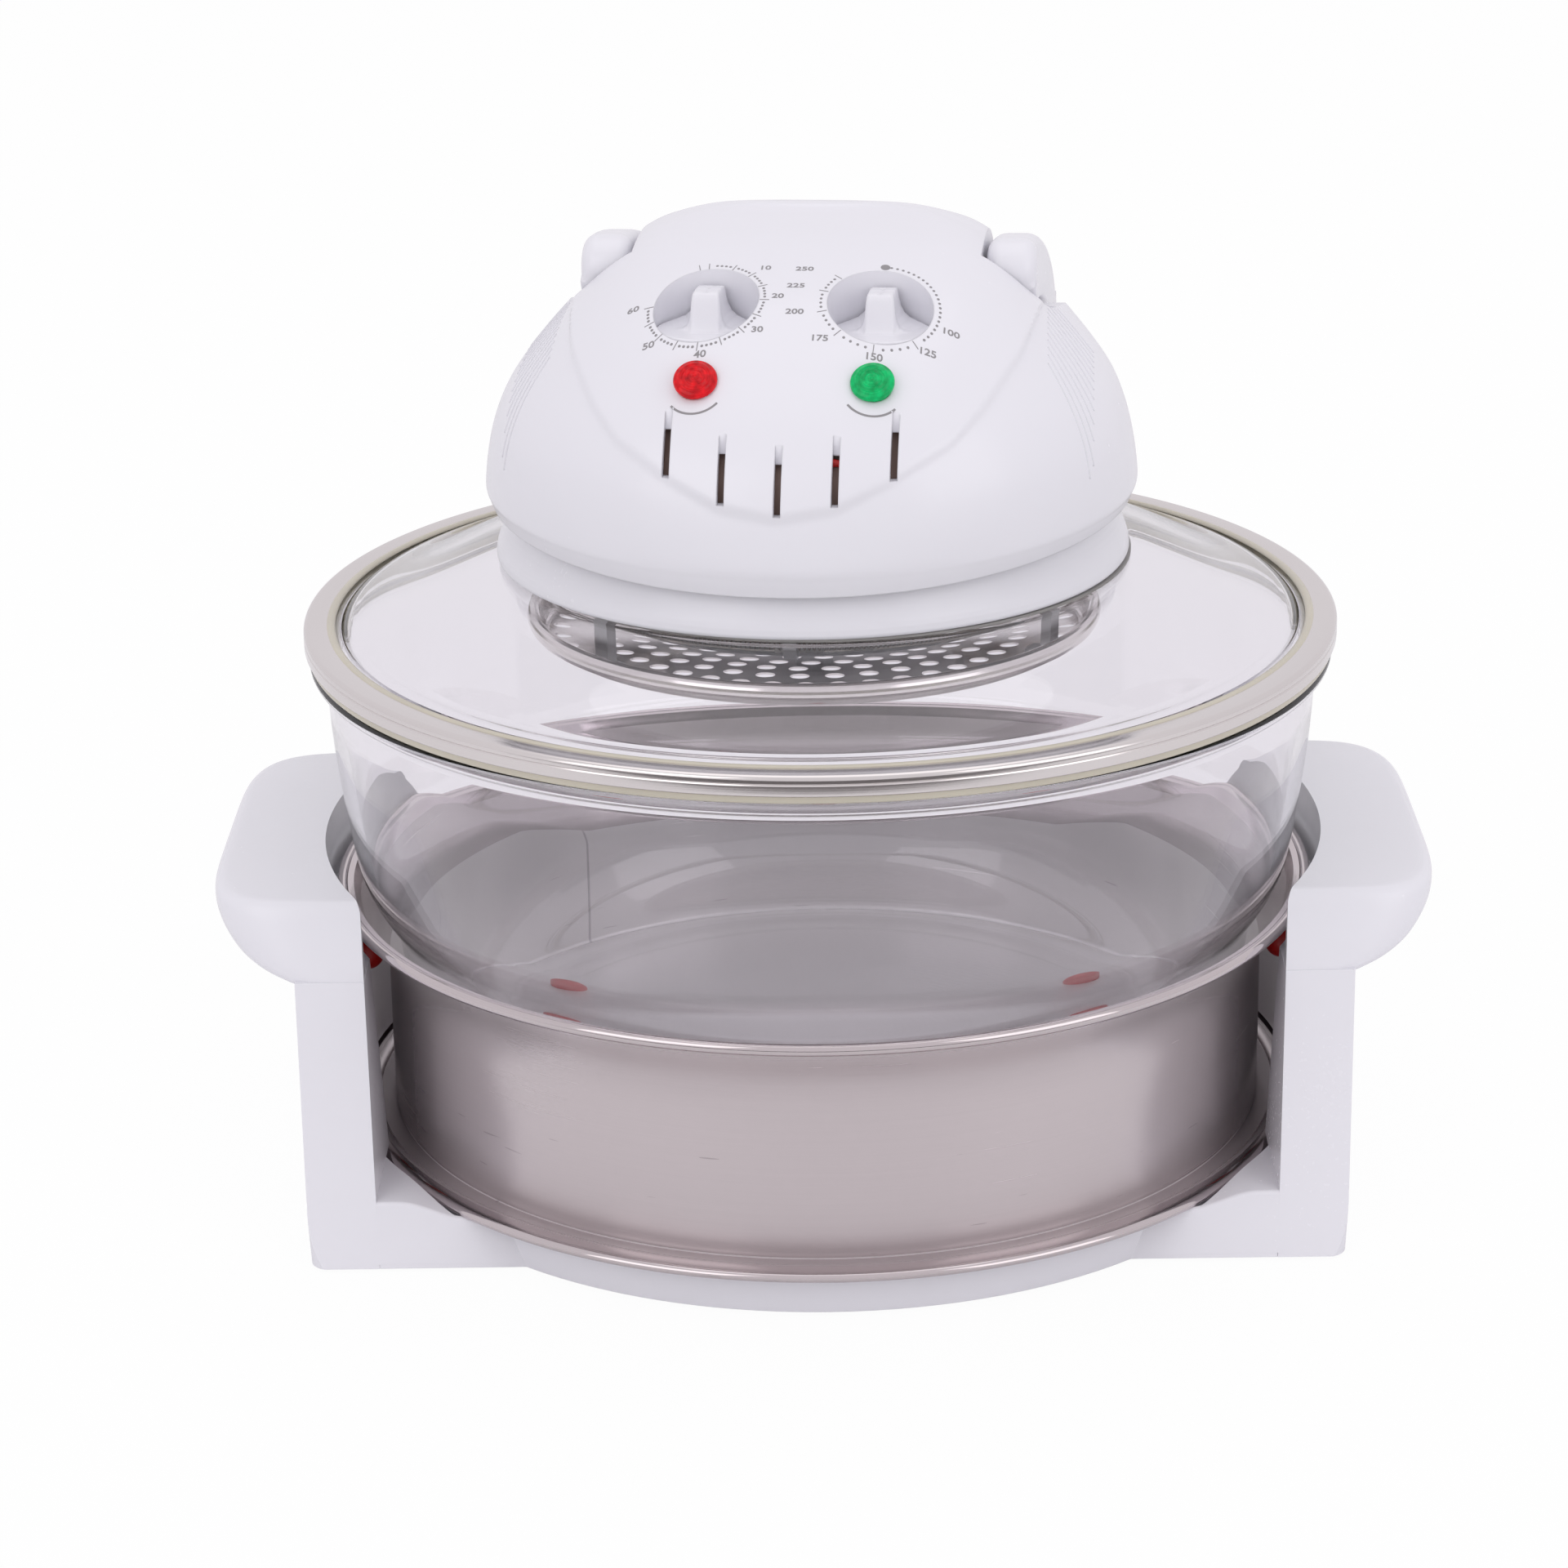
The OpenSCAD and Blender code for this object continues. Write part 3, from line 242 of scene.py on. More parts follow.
finishes = {
    "moulded_plastic": plasticFinish("mouldedPlastic", (0.79, 0.785, 0.83), 0.2, 0),
    "white_plastic": plasticFinish("whitePlastic", (0.79, 0.785, 0.83), 0.2),
    "brushed_steel": steelFinish("brushedSteel", (0.63, 0.57, 0.58), 0.45, 0.2, True),
    "polished_steel": steelFinish("polishedSteel", (0.76, 0.72, 0.71), 0.25, 0.1),
    "clear_glass": glassFinish("clearGlass", (0.96, 0.95, 0.97)),
    "cream_silicone": rubberFinish("creamSilicone", (0.6, 0.56, 0.46), 0.25, 0.1),
    "red_silicone": rubberFinish("redSilicone", (0.62, 0.012, 0.01), 0.34, 0.1),
    "black_rubber": rubberFinish("blackRubber", (0.03, 0.03, 0.032), 0.55),
    "zinc_plate": metalFinish("zincPlate", (0.62, 0.62, 0.63), 0.28),
    "grey_seal": rubberFinish("greySeal", (0.3, 0.29, 0.28), 0.4),
    "brown_board": rubberFinish("brownBoard", (0.3, 0.2, 0.17), 0.5),
    "ceramic": rubberFinish("ceramicWhite", (0.8, 0.78, 0.72), 0.5),
    "quartz": glassFinish("quartzGlass", (0.93, 0.91, 0.85)),
    "copper": metalFinish("copperTube", (0.8, 0.42, 0.26), 0.25),
    "laminated_iron": metalFinish("laminatedIron", (0.3, 0.28, 0.27), 0.4),
    "black_plastic": plasticFinish("blackPlastic", (0.03, 0.028, 0.03), 0.4, 0.0002),
    "cast_aluminium": metalFinish("castAluminium", (0.72, 0.72, 0.74), 0.3),
    "red_lens": lensFinish("redLens", (0.3, 0.0, 0.004), (0.8, 0.006, 0.012)),
    "green_lens": lensFinish("greenLens", (0.0, 0.2, 0.05), (0.0, 0.55, 0.16)),
    "grey_print": rubberFinish("greyPrint", (0.3, 0.29, 0.3), 0.5),
    "tungsten": metalFinish("tungstenWire", (0.34, 0.26, 0.2), 0.3),
}
print("finishes made,", len(finishes))


# Drawing and mesh helpers; drawings are in millimetres

headTurn = Matrix.Translation((-0.002, 0, 0)) @ Matrix.Rotation(math.radians(-6), 4, "Z")
above, before = 400, -200  # a height over the oven and a depth in front of it, where rays and cutters start


def bend(points, steps=16):
    # a Bezier curve without its first point
    a, b, c, d = np.array(points, float)
    t = np.linspace(0, 1, steps + 1)[1:, None]
    u = 1 - t
    return list(map(tuple, u ** 3 * a + 3 * t * u ** 2 * b + 3 * t * t * u * c + t ** 3 * d))


def arc(centre, rx, ry, first, last, steps=10):
    a = np.radians(np.linspace(first, last, steps + 1))
    return list(zip(centre[0] + rx * np.cos(a), centre[1] + ry * np.sin(a)))


def leftOf(path):
    p = np.array(path, float)
    run = np.vstack([p[1:], p[-1:]]) - np.vstack([p[:1], p[:-1]])
    run /= np.linalg.norm(run, axis=1)[:, None]
    return np.column_stack([-run[:, 1], run[:, 0]])


def strip(path, thick):
    p = np.array(path, float)
    return list(map(tuple, p)) + list(map(tuple, (p + thick * leftOf(path))[::-1]))


def smoothRows(rows, steps):
    r = np.array(rows, float)
    out = []
    for i in range(len(r) - 1):
        a, b, c, d = r[max(i - 1, 0)], r[i], r[i + 1], r[min(i + 2, len(r) - 1)]
        for t in np.arange(steps) / steps:
            square, cube = 2 * a - 5 * b + 4 * c - d, 3 * b - a - 3 * c + d
            out.append(0.5 * (2 * b + (c - a) * t + square * t ** 2 + cube * t ** 3))
    return np.array(out + [r[-1]])


def eased(share):
    return share * share * (3 - 2 * share)


def turnSteps(count):
    return np.linspace(0, math.tau, count, endpoint=False)


def newPiece(name, points, faces):
    mesh = bpy.data.meshes.new(name)
    mesh.from_pydata((np.asarray(points, float) / 1000).tolist(), [], faces)
    made = bpy.data.objects.new(name, mesh)
    bpy.context.scene.collection.objects.link(made)
    return made


@contextmanager
def editing(mesh):
    work = bmesh.new()
    work.from_mesh(mesh)
    yield work
    work.to_mesh(mesh)
    work.free()


def shaded(piece, angle=32):
    piece.data.shade_smooth()
    piece.data.set_sharp_from_angle(angle=math.radians(angle))
    return piece


def tidy(piece, angle=32):
    with editing(piece.data) as work:
        bmesh.ops.remove_doubles(work, verts=work.verts, dist=3e-6)
        bmesh.ops.recalc_face_normals(work, faces=work.faces)
    return shaded(piece, angle)


def makePlain(piece):
    seen = piece.evaluated_get(bpy.context.evaluated_depsgraph_get())
    mesh = bpy.data.meshes.new_from_object(seen)
    piece.modifiers.clear()
    piece.data = mesh
    return piece


def combine(piece, tools, operation="DIFFERENCE"):
    for tool in tools:
        step = piece.modifiers.new("cut", "BOOLEAN")
        step.operation, step.solver, step.object = operation, "MANIFOLD", tool
    makePlain(piece)
    for tool in tools:
        bpy.data.objects.remove(tool)
    return piece


def grown(piece, tree, values):
    # runs a geometry tree on the piece, with its inputs set by their names
    step = piece.modifiers.new("grow", "NODES")
    step.node_group = tree
    for item in tree.interface.items_tree:
        if item.item_type == "SOCKET" and item.in_out == "INPUT" and item.name in values:
            step[item.identifier] = values[item.name]
    return makePlain(piece)


def settle(piece, body, slot, *nodes):
    piece.data.materials.clear()
    piece.data.materials.append(finishes[slot])
    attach(piece, body)
    if nodes:
        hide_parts(*nodes)
    return piece


def skin(name, rings, flat=False):
    # flat ends can be any outline, the others close on their middle
    rows, count = len(rings), len(rings[0])
    points = np.asarray(rings, float).reshape(-1, 3)
    top = (rows - 1) * count
    faces = []
    for low in range(0, top, count):
        high = low + count
        faces += [(low + i, low + (i + 1) % count, high + (i + 1) % count, high + i) for i in range(count)]
    if flat:
        made = newPiece(name, points, faces + [tuple(range(count))[::-1], tuple(range(top, top + count))])
        with editing(made.data) as work:
            ends = [face for face in work.faces if len(face.verts) > 4]
            bmesh.ops.triangulate(work, faces=ends, ngon_method="EAR_CLIP")
        return made
    first = len(points)
    faces += [(first, (i + 1) % count, i) for i in range(count)]
    faces += [(first + 1, top + i, top + (i + 1) % count) for i in range(count)]
    return newPiece(name, np.vstack([points, np.mean(rings[0], axis=0), np.mean(rings[-1], axis=0)]), faces)


def prism(name, outline, x0, x1):
    # a side view, as depth and height, drawn out across the width
    return tidy(skin(name, [[(x, y, z) for y, z in outline] for x in (x0, x1)], True))


def geometryTree(name, inputs):
    tree = bpy.data.node_groups.new(name, "GeometryNodeTree")
    tree.interface.new_socket("Geometry", in_out="INPUT", socket_type="NodeSocketGeometry")
    for label, kind, value in inputs:
        made = tree.interface.new_socket(label, in_out="INPUT", socket_type="NodeSocket" + kind)
        if value is not None:
            made.default_value = value
    tree.interface.new_socket("Geometry", in_out="OUTPUT", socket_type="NodeSocketGeometry")
    graph = Graph(tree)
    entry = graph.node("NodeGroupInput").socket.node
    return graph, {socket.name: Wire(graph, socket) for socket in entry.outputs if socket.name}


def endTree(graph, geometry, finish):
    real = graph.node("GeometryNodeRealizeInstances", {}, {0: geometry})
    coated = graph.node("GeometryNodeSetMaterial", {}, {"Geometry": real, "Material": finish})
    out = graph.tree.nodes.new("NodeGroupOutput")
    graph.tree.links.new(coated.socket, out.inputs[0])
    return graph.tree


# A drawn section turned about the upright axis

def turningTree():
    graph, enter = geometryTree("turnedSection", [
        ("Segments", "Int", 256), ("Join Distance", "Float", 3e-6)])
    section, segments = enter["Geometry"], enter["Segments"]
    count = graph.node("GeometryNodeAttributeDomainSize", {"component": "MESH"}, {0: section})
    sheet = graph.node("GeometryNodeMeshGrid", {}, {
        "Size X": 1.0, "Size Y": 1.0, "Vertices X": segments + 1, "Vertices Y": count + 1})
    index = graph.node("GeometryNodeInputIndex")
    row = (index / (count + 1)).maths("FLOOR")
    place = (index % (count + 1)) % count
    spot = graph.node("GeometryNodeInputPosition")
    taken = graph.node("GeometryNodeSampleIndex", {"data_type": "FLOAT_VECTOR", "domain": "POINT"}, {
        "Geometry": section, "Value": spot, "Index": place})
    x, y, z = graph.parts(taken)
    angle = row / segments * math.tau
    turned = graph.node("ShaderNodeCombineXYZ", {}, {
        0: x * angle.maths("COSINE"), 1: x * angle.maths("SINE"), 2: z})
    moved = graph.node("GeometryNodeSetPosition", {}, {"Geometry": sheet, "Position": turned})
    joined = graph.node("GeometryNodeMergeByDistance", {}, {
        "Geometry": moved, "Distance": enter["Join Distance"]})
    return endTree(graph, joined, finishes["brushed_steel"])


turnedSection = turningTree()


def turned(name, section, segments=256):
    made = newPiece(name, [(r, 0, z) for r, z in section], [])
    return tidy(grown(made, turnedSection, {"Segments": segments}))


def joinPieces(name, pieces):
    work = bmesh.new()
    for piece in pieces:
        work.from_mesh(piece.data)
        bpy.data.objects.remove(piece)
    made = newPiece(name, [], [])
    work.to_mesh(made.data)
    work.free()
    return shaded(made)


# Heater: a shallow pan under the head and the wire in the ring-shaped tube

heater = {"panR": 84, "flangeR": 88, "panTop": 206.9, "panLow": 197.6, "sheet": 0.6,
          "ringR": 67, "ringZ": 193.2, "wireR": 1.7, "wire": 0.28, "pitch": 1.5, "ends": 0.12}


def makeHeater():
    pan, low, top = heater["panR"], heater["panLow"], heater["panTop"]
    path = [(0, top), (40, top), (pan - 5, top)]
    path += bend([(pan - 5, top), (pan - 2, top), (pan, top - 2), (pan, top - 5)], 8)
    path += [(pan, low + 0.8), (pan + 0.8, low), (heater["flangeR"], low)]
    made = turned("heatPan", strip(path, -heater["sheet"]))
    made.data.transform(headTurn)
    settle(made, "lid", "polished_steel", "heat_shield")
    turns = int(math.tau * heater["ringR"] / heater["pitch"])
    a = np.linspace(heater["ends"], math.tau - heater["ends"], turns * 9)
    b = a * turns
    r = heater["ringR"] + heater["wireR"] * np.cos(b)
    z = heater["ringZ"] + heater["wireR"] * np.sin(b)
    centre = np.column_stack([r * np.cos(a), r * np.sin(a), z])
    out = np.column_stack([np.cos(a) * np.cos(b), np.sin(a) * np.cos(b), np.sin(b)])
    side = np.column_stack([-np.sin(a), np.cos(a), 0 * a])
    rings = [centre + heater["wire"] * (out * math.cos(t) + side * math.sin(t)) for t in (0.5, 2.6, 4.7)]
    made = skin("filament", np.stack(rings, axis=1))
    made.data.transform(headTurn)
    settle(tidy(made, 80), "lid", "tungsten")
    print("heater made,", len(made.data.polygons), "faces")


# Drum

drum = {"wall": 145.5, "rim": 161.5, "seat": 16, "top": 95, "sheet": 0.8, "lip": 159.3, "bead": 1.9}


def makeDrum():
    r, top, seat = drum["wall"], drum["top"], drum["seat"]
    mouth = drum["rim"] - 6
    wall = [(0, seat), (60, seat), (120, seat), (r - 3, seat)]
    wall += bend([(r - 3, seat), (r - 1, seat), (r, seat + 1), (r, seat + 3)], 8)
    wall += [(r, z) for z in np.linspace(seat + 8, top - 31, 8)]
    wall += bend([(r, top - 31), (r, top - 16), (mouth - 3, top - 12), (mouth + 1, top - 2)], 24)
    wall += [(drum["rim"] - 3, top - 1.6)]
    half = (drum["lip"] - r - 5) / 2
    foot = arc((drum["lip"] - half, seat + 0.6), half, 2.2, 0, 345, 28)
    join = drum["lip"] - 2 * half + 1
    web = [(r - 4, seat + 0.1), (join, seat + 0.1), (join, seat + 0.8), (r - 4, seat + 0.7)]
    bead = arc((drum["rim"] - drum["bead"], top - drum["bead"]), drum["bead"], drum["bead"], 0, 345, 20)
    made = joinPieces("drumShell", [turned("wall", strip(wall, drum["sheet"])), turned("foot", foot),
                                    turned("web", web), turned("bead", bead)])
    settle(made, "base", "brushed_steel", "drum")
    print("drum turned,", len(made.data.polygons), "faces")


makeHeater()
makeDrum()

# Glass bowl

bowl = {"low": 23.8, "top": 173.8, "r": 161, "rim": 166.5, "wall": 4, "flat": 108}


def makeBowl():
    z, top, r = bowl["low"], bowl["top"], bowl["r"]
    neck, knee, low = top - 16, z + (top - z) * 0.54, z + (top - z) * 0.35
    outside = [(0, z), (50, z), (bowl["flat"], z)]
    outside += bend([(bowl["flat"], z), (r - 32, z + 2), (r - 23, z + 22), (r - 19.2, low)], 28)
    outside += bend([(r - 19.2, low), (r - 17, low + 12), (r - 9.5, knee - 14), (r - 6.6, knee)], 16)
    outside += bend([(r - 6.6, knee), (r - 4, knee + 14), (r - 0.8, neck - 18), (r, neck)], 16)
    outside += [(r + 0.6, top - 8)]
    rim = bend([(r + 0.6, top - 8), (r + 1, top - 5), (r + 2.2, top - 4.2), (bowl["rim"] - 2, top - 4)], 8)
    rim += arc((bowl["rim"] - 2, top - 2), 2, 2, -90, 90, 16)
    rim += arc((r - bowl["wall"] + 1.5, top - 1.5), 1.5, 1.5, 90, 170, 8)
    side = leftOf(outside)
    inside = [tuple(np.array(p) + bowl["wall"] * s) for p, s in zip(outside, side)][1:-1][::-1]
    made = turned("glassBowl", outside + rim + inside + [(0, z + bowl["wall"])], 320)
    settle(made, "bowl", "clear_glass", "glass_bowl")
    print("bowl turned,", len(made.data.polygons), "faces")


makeBowl()

# Lid: glass, band, gasket and seals

lid = {"band": 168, "bandLow": 177.8, "bandTop": 183.2, "sheet": 0.8, "flange": 9, "glass": 3.5,
       "land": 202.6, "gasket": 174.1, "collar": 102.6, "pan": 84, "drop": 1.3, "clampR": 91}


def makeLid():
    band, low, top = lid["band"], lid["bandLow"], lid["bandTop"]
    rimOut, rimIn = band - 2.4, band - lid["flange"]
    landOut, landIn = lid["collar"] - 1.4, lid["pan"] + 2.5
    z, under, step = low + 0.7, lid["land"] - lid["glass"], rimIn - 4
    path = [(rimOut, z), (step, z)]
    path += bend([(step, z), (step - 1.5, z), (step - 2, z + 2.5), (step - 4, z + 3)], 10)
    path += bend([(step - 4, z + 3), (step - 22, z + 8.5), (landOut + 18, under - 1.2),
                  (landOut, under)], 28)
    path += [(landIn, under)]
    over = [tuple(np.array(p) - lid["glass"] * s) for p, s in zip(path, leftOf(path))][::-1]
    settle(turned("lidGlass", path + over, 320), "lid", "clear_glass", "lid_glass")

    edge = low - lid["drop"]
    section = [(rimOut + 0.6, edge)] + arc((band - 1, edge + 1), 1, 1, -90, 0, 8)
    section += [(band, low + 2.2), (band - 0.25, low + 2.6), (band, low + 3)]
    section += arc((band - 1.6, top - 1.6), 1.6, 1.6, 0, 90, 12) + [(rimIn + 1, top), (rimIn, top - 0.3)]
    settle(turned("lidBand", strip(section, lid["sheet"]), 320), "lid", "polished_steel", "lid_band")

    gasket = [(rimIn - 2, lid["gasket"]), (band - 2, lid["gasket"])]
    gasket += arc((band - 2, lid["gasket"] + 1), 1, 1, -90, 0, 6)
    gasket += [(band - 1, low), (rimOut, low), (rimOut, z), (rimIn - 2, z)]
    settle(turned("lidGasket", gasket), "lid", "cream_silicone", "lid_gasket")

    section = [(landIn, under - 1.2)] + arc((lid["clampR"] - 0.6, under - 0.6), 0.6, 0.6, -90, 90, 10)
    section.append((landIn, under))
    made = turned("clampRing", section)
    made.data.transform(Matrix.Translation((headTurn.translation.x, 0, 0)))
    settle(made, "lid", "polished_steel", "clamp_ring")

    out, sealTop = band - lid["sheet"] - 0.05, top - lid["sheet"] - 0.05
    glassTop = z + lid["glass"]
    seal = [(rimIn + 1, glassTop), (rimOut + 0.05, glassTop), (rimOut + 0.05, low + 1.6), (out, low + 1.6),
            (out, sealTop - 1.4), (out - 1.4, sealTop), (rimIn + 1, sealTop)]
    bead = arc((rimIn + 0.2, top - 0.5), 1.5, 0.9, 180, 20, 12) + [(rimIn + 0.4, top - 1.4)]
    made = joinPieces("glazingSeal", [turned("seal", seal), turned("sealBead", bead)])
    settle(made, "lid", "cream_silicone", "glazing_seal")
    print("lid turned")


makeLid()

# Head: housing

head = {"low": 217.4, "height": 95, "r": 105, "rise": 6, "wall": 2.5, "ridge": 55.5, "gap": 1.2, "arm": 21,
        "armWidth": 16, "thinFrom": 8, "thinStep": 0.7, "pivot": (2, 294.4), "grip": (113.5, 252.4),
        "well": 16.4, "wellDrop": 0.6, "bore": 3.6, "gland": 7.05, "cutRear": 240, "cutSide": 40, "cutUp": 60,
        "lampR": 6.8, "lampTilt": 42, "lamp": (27, -77, 277.5), "lampEdge": 0.8, "lampDeep": 20,
        "crease": 1.3, "creaseHalf": 2.5, "creaseFade": 30, "creaseEnd": 12, "creaseEasing": 12,
        "viewTilt": math.radians(20),
        # the crease as drawn in the photograph's view: distance from the middle, height
        "creaseLine": [(0, 191.8), (17.8, 195.3), (35, 204.7), (51, 216), (60, 228), (70, 247), (74, 263),
                       (78, 290), (80, 330)]}

# Height share, half width, front and back as shares of the radius, and the power of the outline
headForm = [(0, 0.983, 0.99, 0.985, 2.05), (0.05, 0.994, 0.998, 0.994, 2.05), (0.1, 1, 1, 1, 2.05),
            (0.227, 0.988, 0.978, 0.985, 2.1), (0.332, 0.965, 0.948, 0.965, 2.15),
            (0.432, 0.927, 0.9, 0.94, 2.2), (0.526, 0.87, 0.838, 0.88, 2.25),
            (0.638, 0.785, 0.739, 0.8, 2.35), (0.725, 0.71, 0.64, 0.72, 2.45),
            (0.822, 0.625, 0.476, 0.62, 2.6), (0.906, 0.53, 0.263, 0.47, 2.8),
            (0.95, 0.445, 0.103, 0.36, 2.9), (0.983, 0.32, -0.1, 0.27, 2.9), (1, 0.17, -0.15, 0.2, 2.6)]


def domeRings(inset, steps, count, lift=0.0):
    rows = [(*row, head["rise"] * max(0, 1 - i / 3), i) for i, row in enumerate(headForm)]
    t = turnSteps(count)
    a = t - 0.3 * np.sin(t - 1.5 * math.pi)  # closer together at the front
    c, s = np.cos(a), np.sin(a)
    rings = []
    for share, half, front, back, power, rise, i in smoothRows(rows, steps):
        half, q = half * head["r"] - inset, 2 / power
        front, back = front * head["r"] - inset * (1 - share ** 3), back * head["r"] - inset
        z = head["low"] + share * head["height"] - inset * share ** 2 - lift * (i == 0)
        rings.append(np.column_stack([
            half * np.sign(c) * abs(c) ** q,
            (back - front) / 2 + np.sign(s) * abs(s) ** q * (front + back) / 2,
            z + rise * c * c]))
    return np.array(rings)


def creased(rings):
    # raises the front panel a little inside its crease
    along = np.roll(rings, -1, 1) - np.roll(rings, 1, 1)
    up = np.gradient(rings, axis=0)
    side = np.cross(along, up)
    side /= np.linalg.norm(side, axis=2)[..., None] + 1e-9
    line = np.array(head["creaseLine"])
    tilt = head["viewTilt"]
    seen = rings[..., 1] * math.sin(tilt) + rings[..., 2] * math.cos(tilt)
    drawn = np.linspace(0, line[-1, 0], 161)
    level = np.interp(drawn, line[:, 0], line[:, 1])
    for _ in range(head["creaseEasing"]):
        level[1:-1] = (level[:-2] + 2 * level[1:-1] + level[2:]) / 4
        level[0] = level[1]
    far = seen - np.interp(abs(rings[..., 0]), drawn, level)
    half = head["creaseHalf"]
    lift = head["crease"] * eased(np.clip((far + half) / (2 * half), 0, 1))
    lift *= np.exp(-np.clip(far, 0, None) / head["creaseFade"])
    lift *= np.clip(-rings[..., 1] / head["creaseEnd"], 0, 1)
    return rings + side * lift[..., None]


def armPath():
    pivot, grip = np.array(head["pivot"]), np.array(head["grip"])
    return [tuple(pivot)] + bend([pivot, pivot + [32, -3], grip + [-22, 21], grip + [0, 2]], 12)


def armSides(extra):
    path = np.array(armPath())
    side, mid = leftOf(armPath()), head["arm"] / 2
    thin = np.maximum(0, np.arange(len(path)) - head["thinFrom"]) * head["thinStep"]
    return path + (mid + extra) * side, (path - (mid + extra - thin)[:, None] * side)[::-1]


def armAngle():
    side = leftOf(armPath())[0]
    return math.degrees(math.atan2(side[1], side[0]))


def armRoom(extra):
    # the room that each arm takes in the housing, grown by the housing's wall for the hollow
    _, under = armSides(head["gap"] + extra)
    r = head["arm"] / 2 + head["gap"] + extra
    pivot = head["pivot"]
    outline = [(head["cutRear"], under[0][1])] + list(map(tuple, under))
    outline += arc(pivot, r, r, armAngle() + 170, 180, 12) + [(pivot[0] - r, above), (head["cutRear"], above)]
    near = head["ridge"] - extra
    far = head["ridge"] + head["armWidth"] + 2 * head["gap"] + head["cutSide"]
    return [prism("room", outline, near, far), prism("room", outline, -far, -near)]


def rod(name, r, low, high, at=(0, 0, 0), tilt=0.0, count=96):
    circle = [(r * math.cos(a), r * math.sin(a)) for a in turnSteps(count)]
    made = skin(name, [[(x, y, z) for x, y in circle] for z in (low, high)])
    place = Matrix.Translation(Vector(at) / 1000) @ Matrix.Rotation(math.radians(tilt), 4, "X")
    made.data.transform(place)
    return made


def surfaceOf(piece):
    points = [v.co * 1000 for v in piece.data.vertices]
    return BVHTree.FromPolygons(points, [tuple(p.vertices) for p in piece.data.polygons])


def knobPlace(node):
    low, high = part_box(node)
    return headTurn.inverted() @ Vector(((low.x + high.x) / 2, (low.y + high.y) / 2, 0)) * 1000


vents = {"pitch": 17.3, "width": 2.2, "low": (242.3, 245.2, 251.8), "high": (256.3, 258.7, 264.2),
         "scoop": 6.0, "scoopDeep": 3.2, "inner": -72, "outer": -125}
# The board behind the vents, and its wires by their start, height and radius
inner = {"heights": (236, 251, 266), "gap": (4.4, 4.8, 5.6), "curve": 0.004, "half": 42, "columns": 57,
         "groove": 0.4, "thick": 1.2, "wireRun": 26, "wireWave": 1.5, "waves": 5,
         "wires": [(-9, 257.5, 0.9), (4, 255.5, 1.1), (-22, 258.5, 0.8)]}


def makeHousing():
    made = skin("upperHousing", creased(domeRings(0, 12, 400)))
    tidy(made)
    surface = surfaceOf(made)

    def frontAt(x, z):
        return surface.ray_cast(Vector((x, before, z)), Vector((0, 1, 0)))[0].y

    inner["face"] = [frontAt(8, z) for z in inner["heights"]]
    hollow = tidy(skin("hollow", domeRings(head["wall"], 4, 120, 6)))
    wells = [(p.x, p.y, 0) for p in map(knobPlace, ("timer_knob", "thermostat_knob"))]
    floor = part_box("timer_knob")[0].z * 1000 - head["wellDrop"]
    wall, well, mouth = head["wall"], head["well"], floor + head["cutUp"]
    keep = armRoom(wall)
    keep += [rod("keep", well + wall, floor - wall, mouth, p) for p in wells]
    combine(hollow, keep)
    tools = [hollow] + armRoom(0)
    tools += [rod("well", well, floor, mouth, p, count=160) for p in wells]
    tools += [rod("bore", head["bore"], floor - 10, floor + 5, p, count=48) for p in wells]
    lampX, lampY, lampZ = head["lamp"]
    deep, r = head["lampDeep"], head["lampR"] - head["lampEdge"]
    for side in (-1, 1):
        tools.append(rod("lampHole", r, -deep, deep, (side * lampX, lampY, lampZ), head["lampTilt"]))
    for i in range(-2, 3):
        x, low, high = i * vents["pitch"], vents["low"][abs(i)], vents["high"][abs(i)]
        top, half = high + vents["scoop"], vents["width"] / 2
        deep, out = vents["inner"], vents["outer"]
        tools.append(prism("slot", [(out, low), (deep, low), (deep, high), (out, high)], x - half, x + half))
        scoop = [(out, high - 0.2), (frontAt(x, high) + vents["scoopDeep"], high - 0.2),
                 (frontAt(x, top) - 0.02, top), (out, top)]
        tools.append(prism("scoop", scoop, x - half, x + half))
    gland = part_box("cord_gland")
    place = (0, head["r"], (gland[0].z + gland[1].z) * 500)
    tools.append(rod("glandHole", head["gland"], -15, 15, place, 90))
    combine(made, tools)
    tidy(made)
    made.data.transform(headTurn)
    print("housing shaped,", len(made.data.polygons), "faces")
    return made


housing = makeHousing()
panel = surfaceOf(housing)
settle(housing, "lid", "white_plastic", "upper_housing")


def onPanel(x, y):
    # the place on the housing straight below a point of the head's own plan
    start = headTurn @ Vector((x / 1000, y / 1000, 0)) * 1000
    return panel.ray_cast(Vector((start.x, start.y, above)), Vector((0, 0, -1)))[0]


# Knobs

knob = {"grip": 11.5, "half": 4.5, "round": 0.8, "r": 15.9, "widen": 9, "foot": 0.4, "hub": 4,
        "mark": 0.35, "markHalf": 0.5, "markFrom": -1, "markTo": 9, "columns": (8, 44, 22), "rows": 97,
        # the grip's share of height by the distance past its half width, and along it from front to rear
        "flank": [(-0.9, 1), (-0.5, 0.97), (-0.25, 0.88), (0, 0.68), (0.25, 0.44), (0.7, 0.24), (1.5, 0.1),
                  (2.8, 0.03), (5, 0), (25.5, 0)],
        "along": [(-30, 0), (-7.5, 0), (-5.8, 0.04), (-4.8, 0.13), (-4.1, 0.3), (-3.6, 0.55), (-3.1, 0.8),
                  (-2.5, 0.94), (-1.6, 0.99), (0, 1), (6, 0.98), (11, 0.93), (16, 0.84)]}


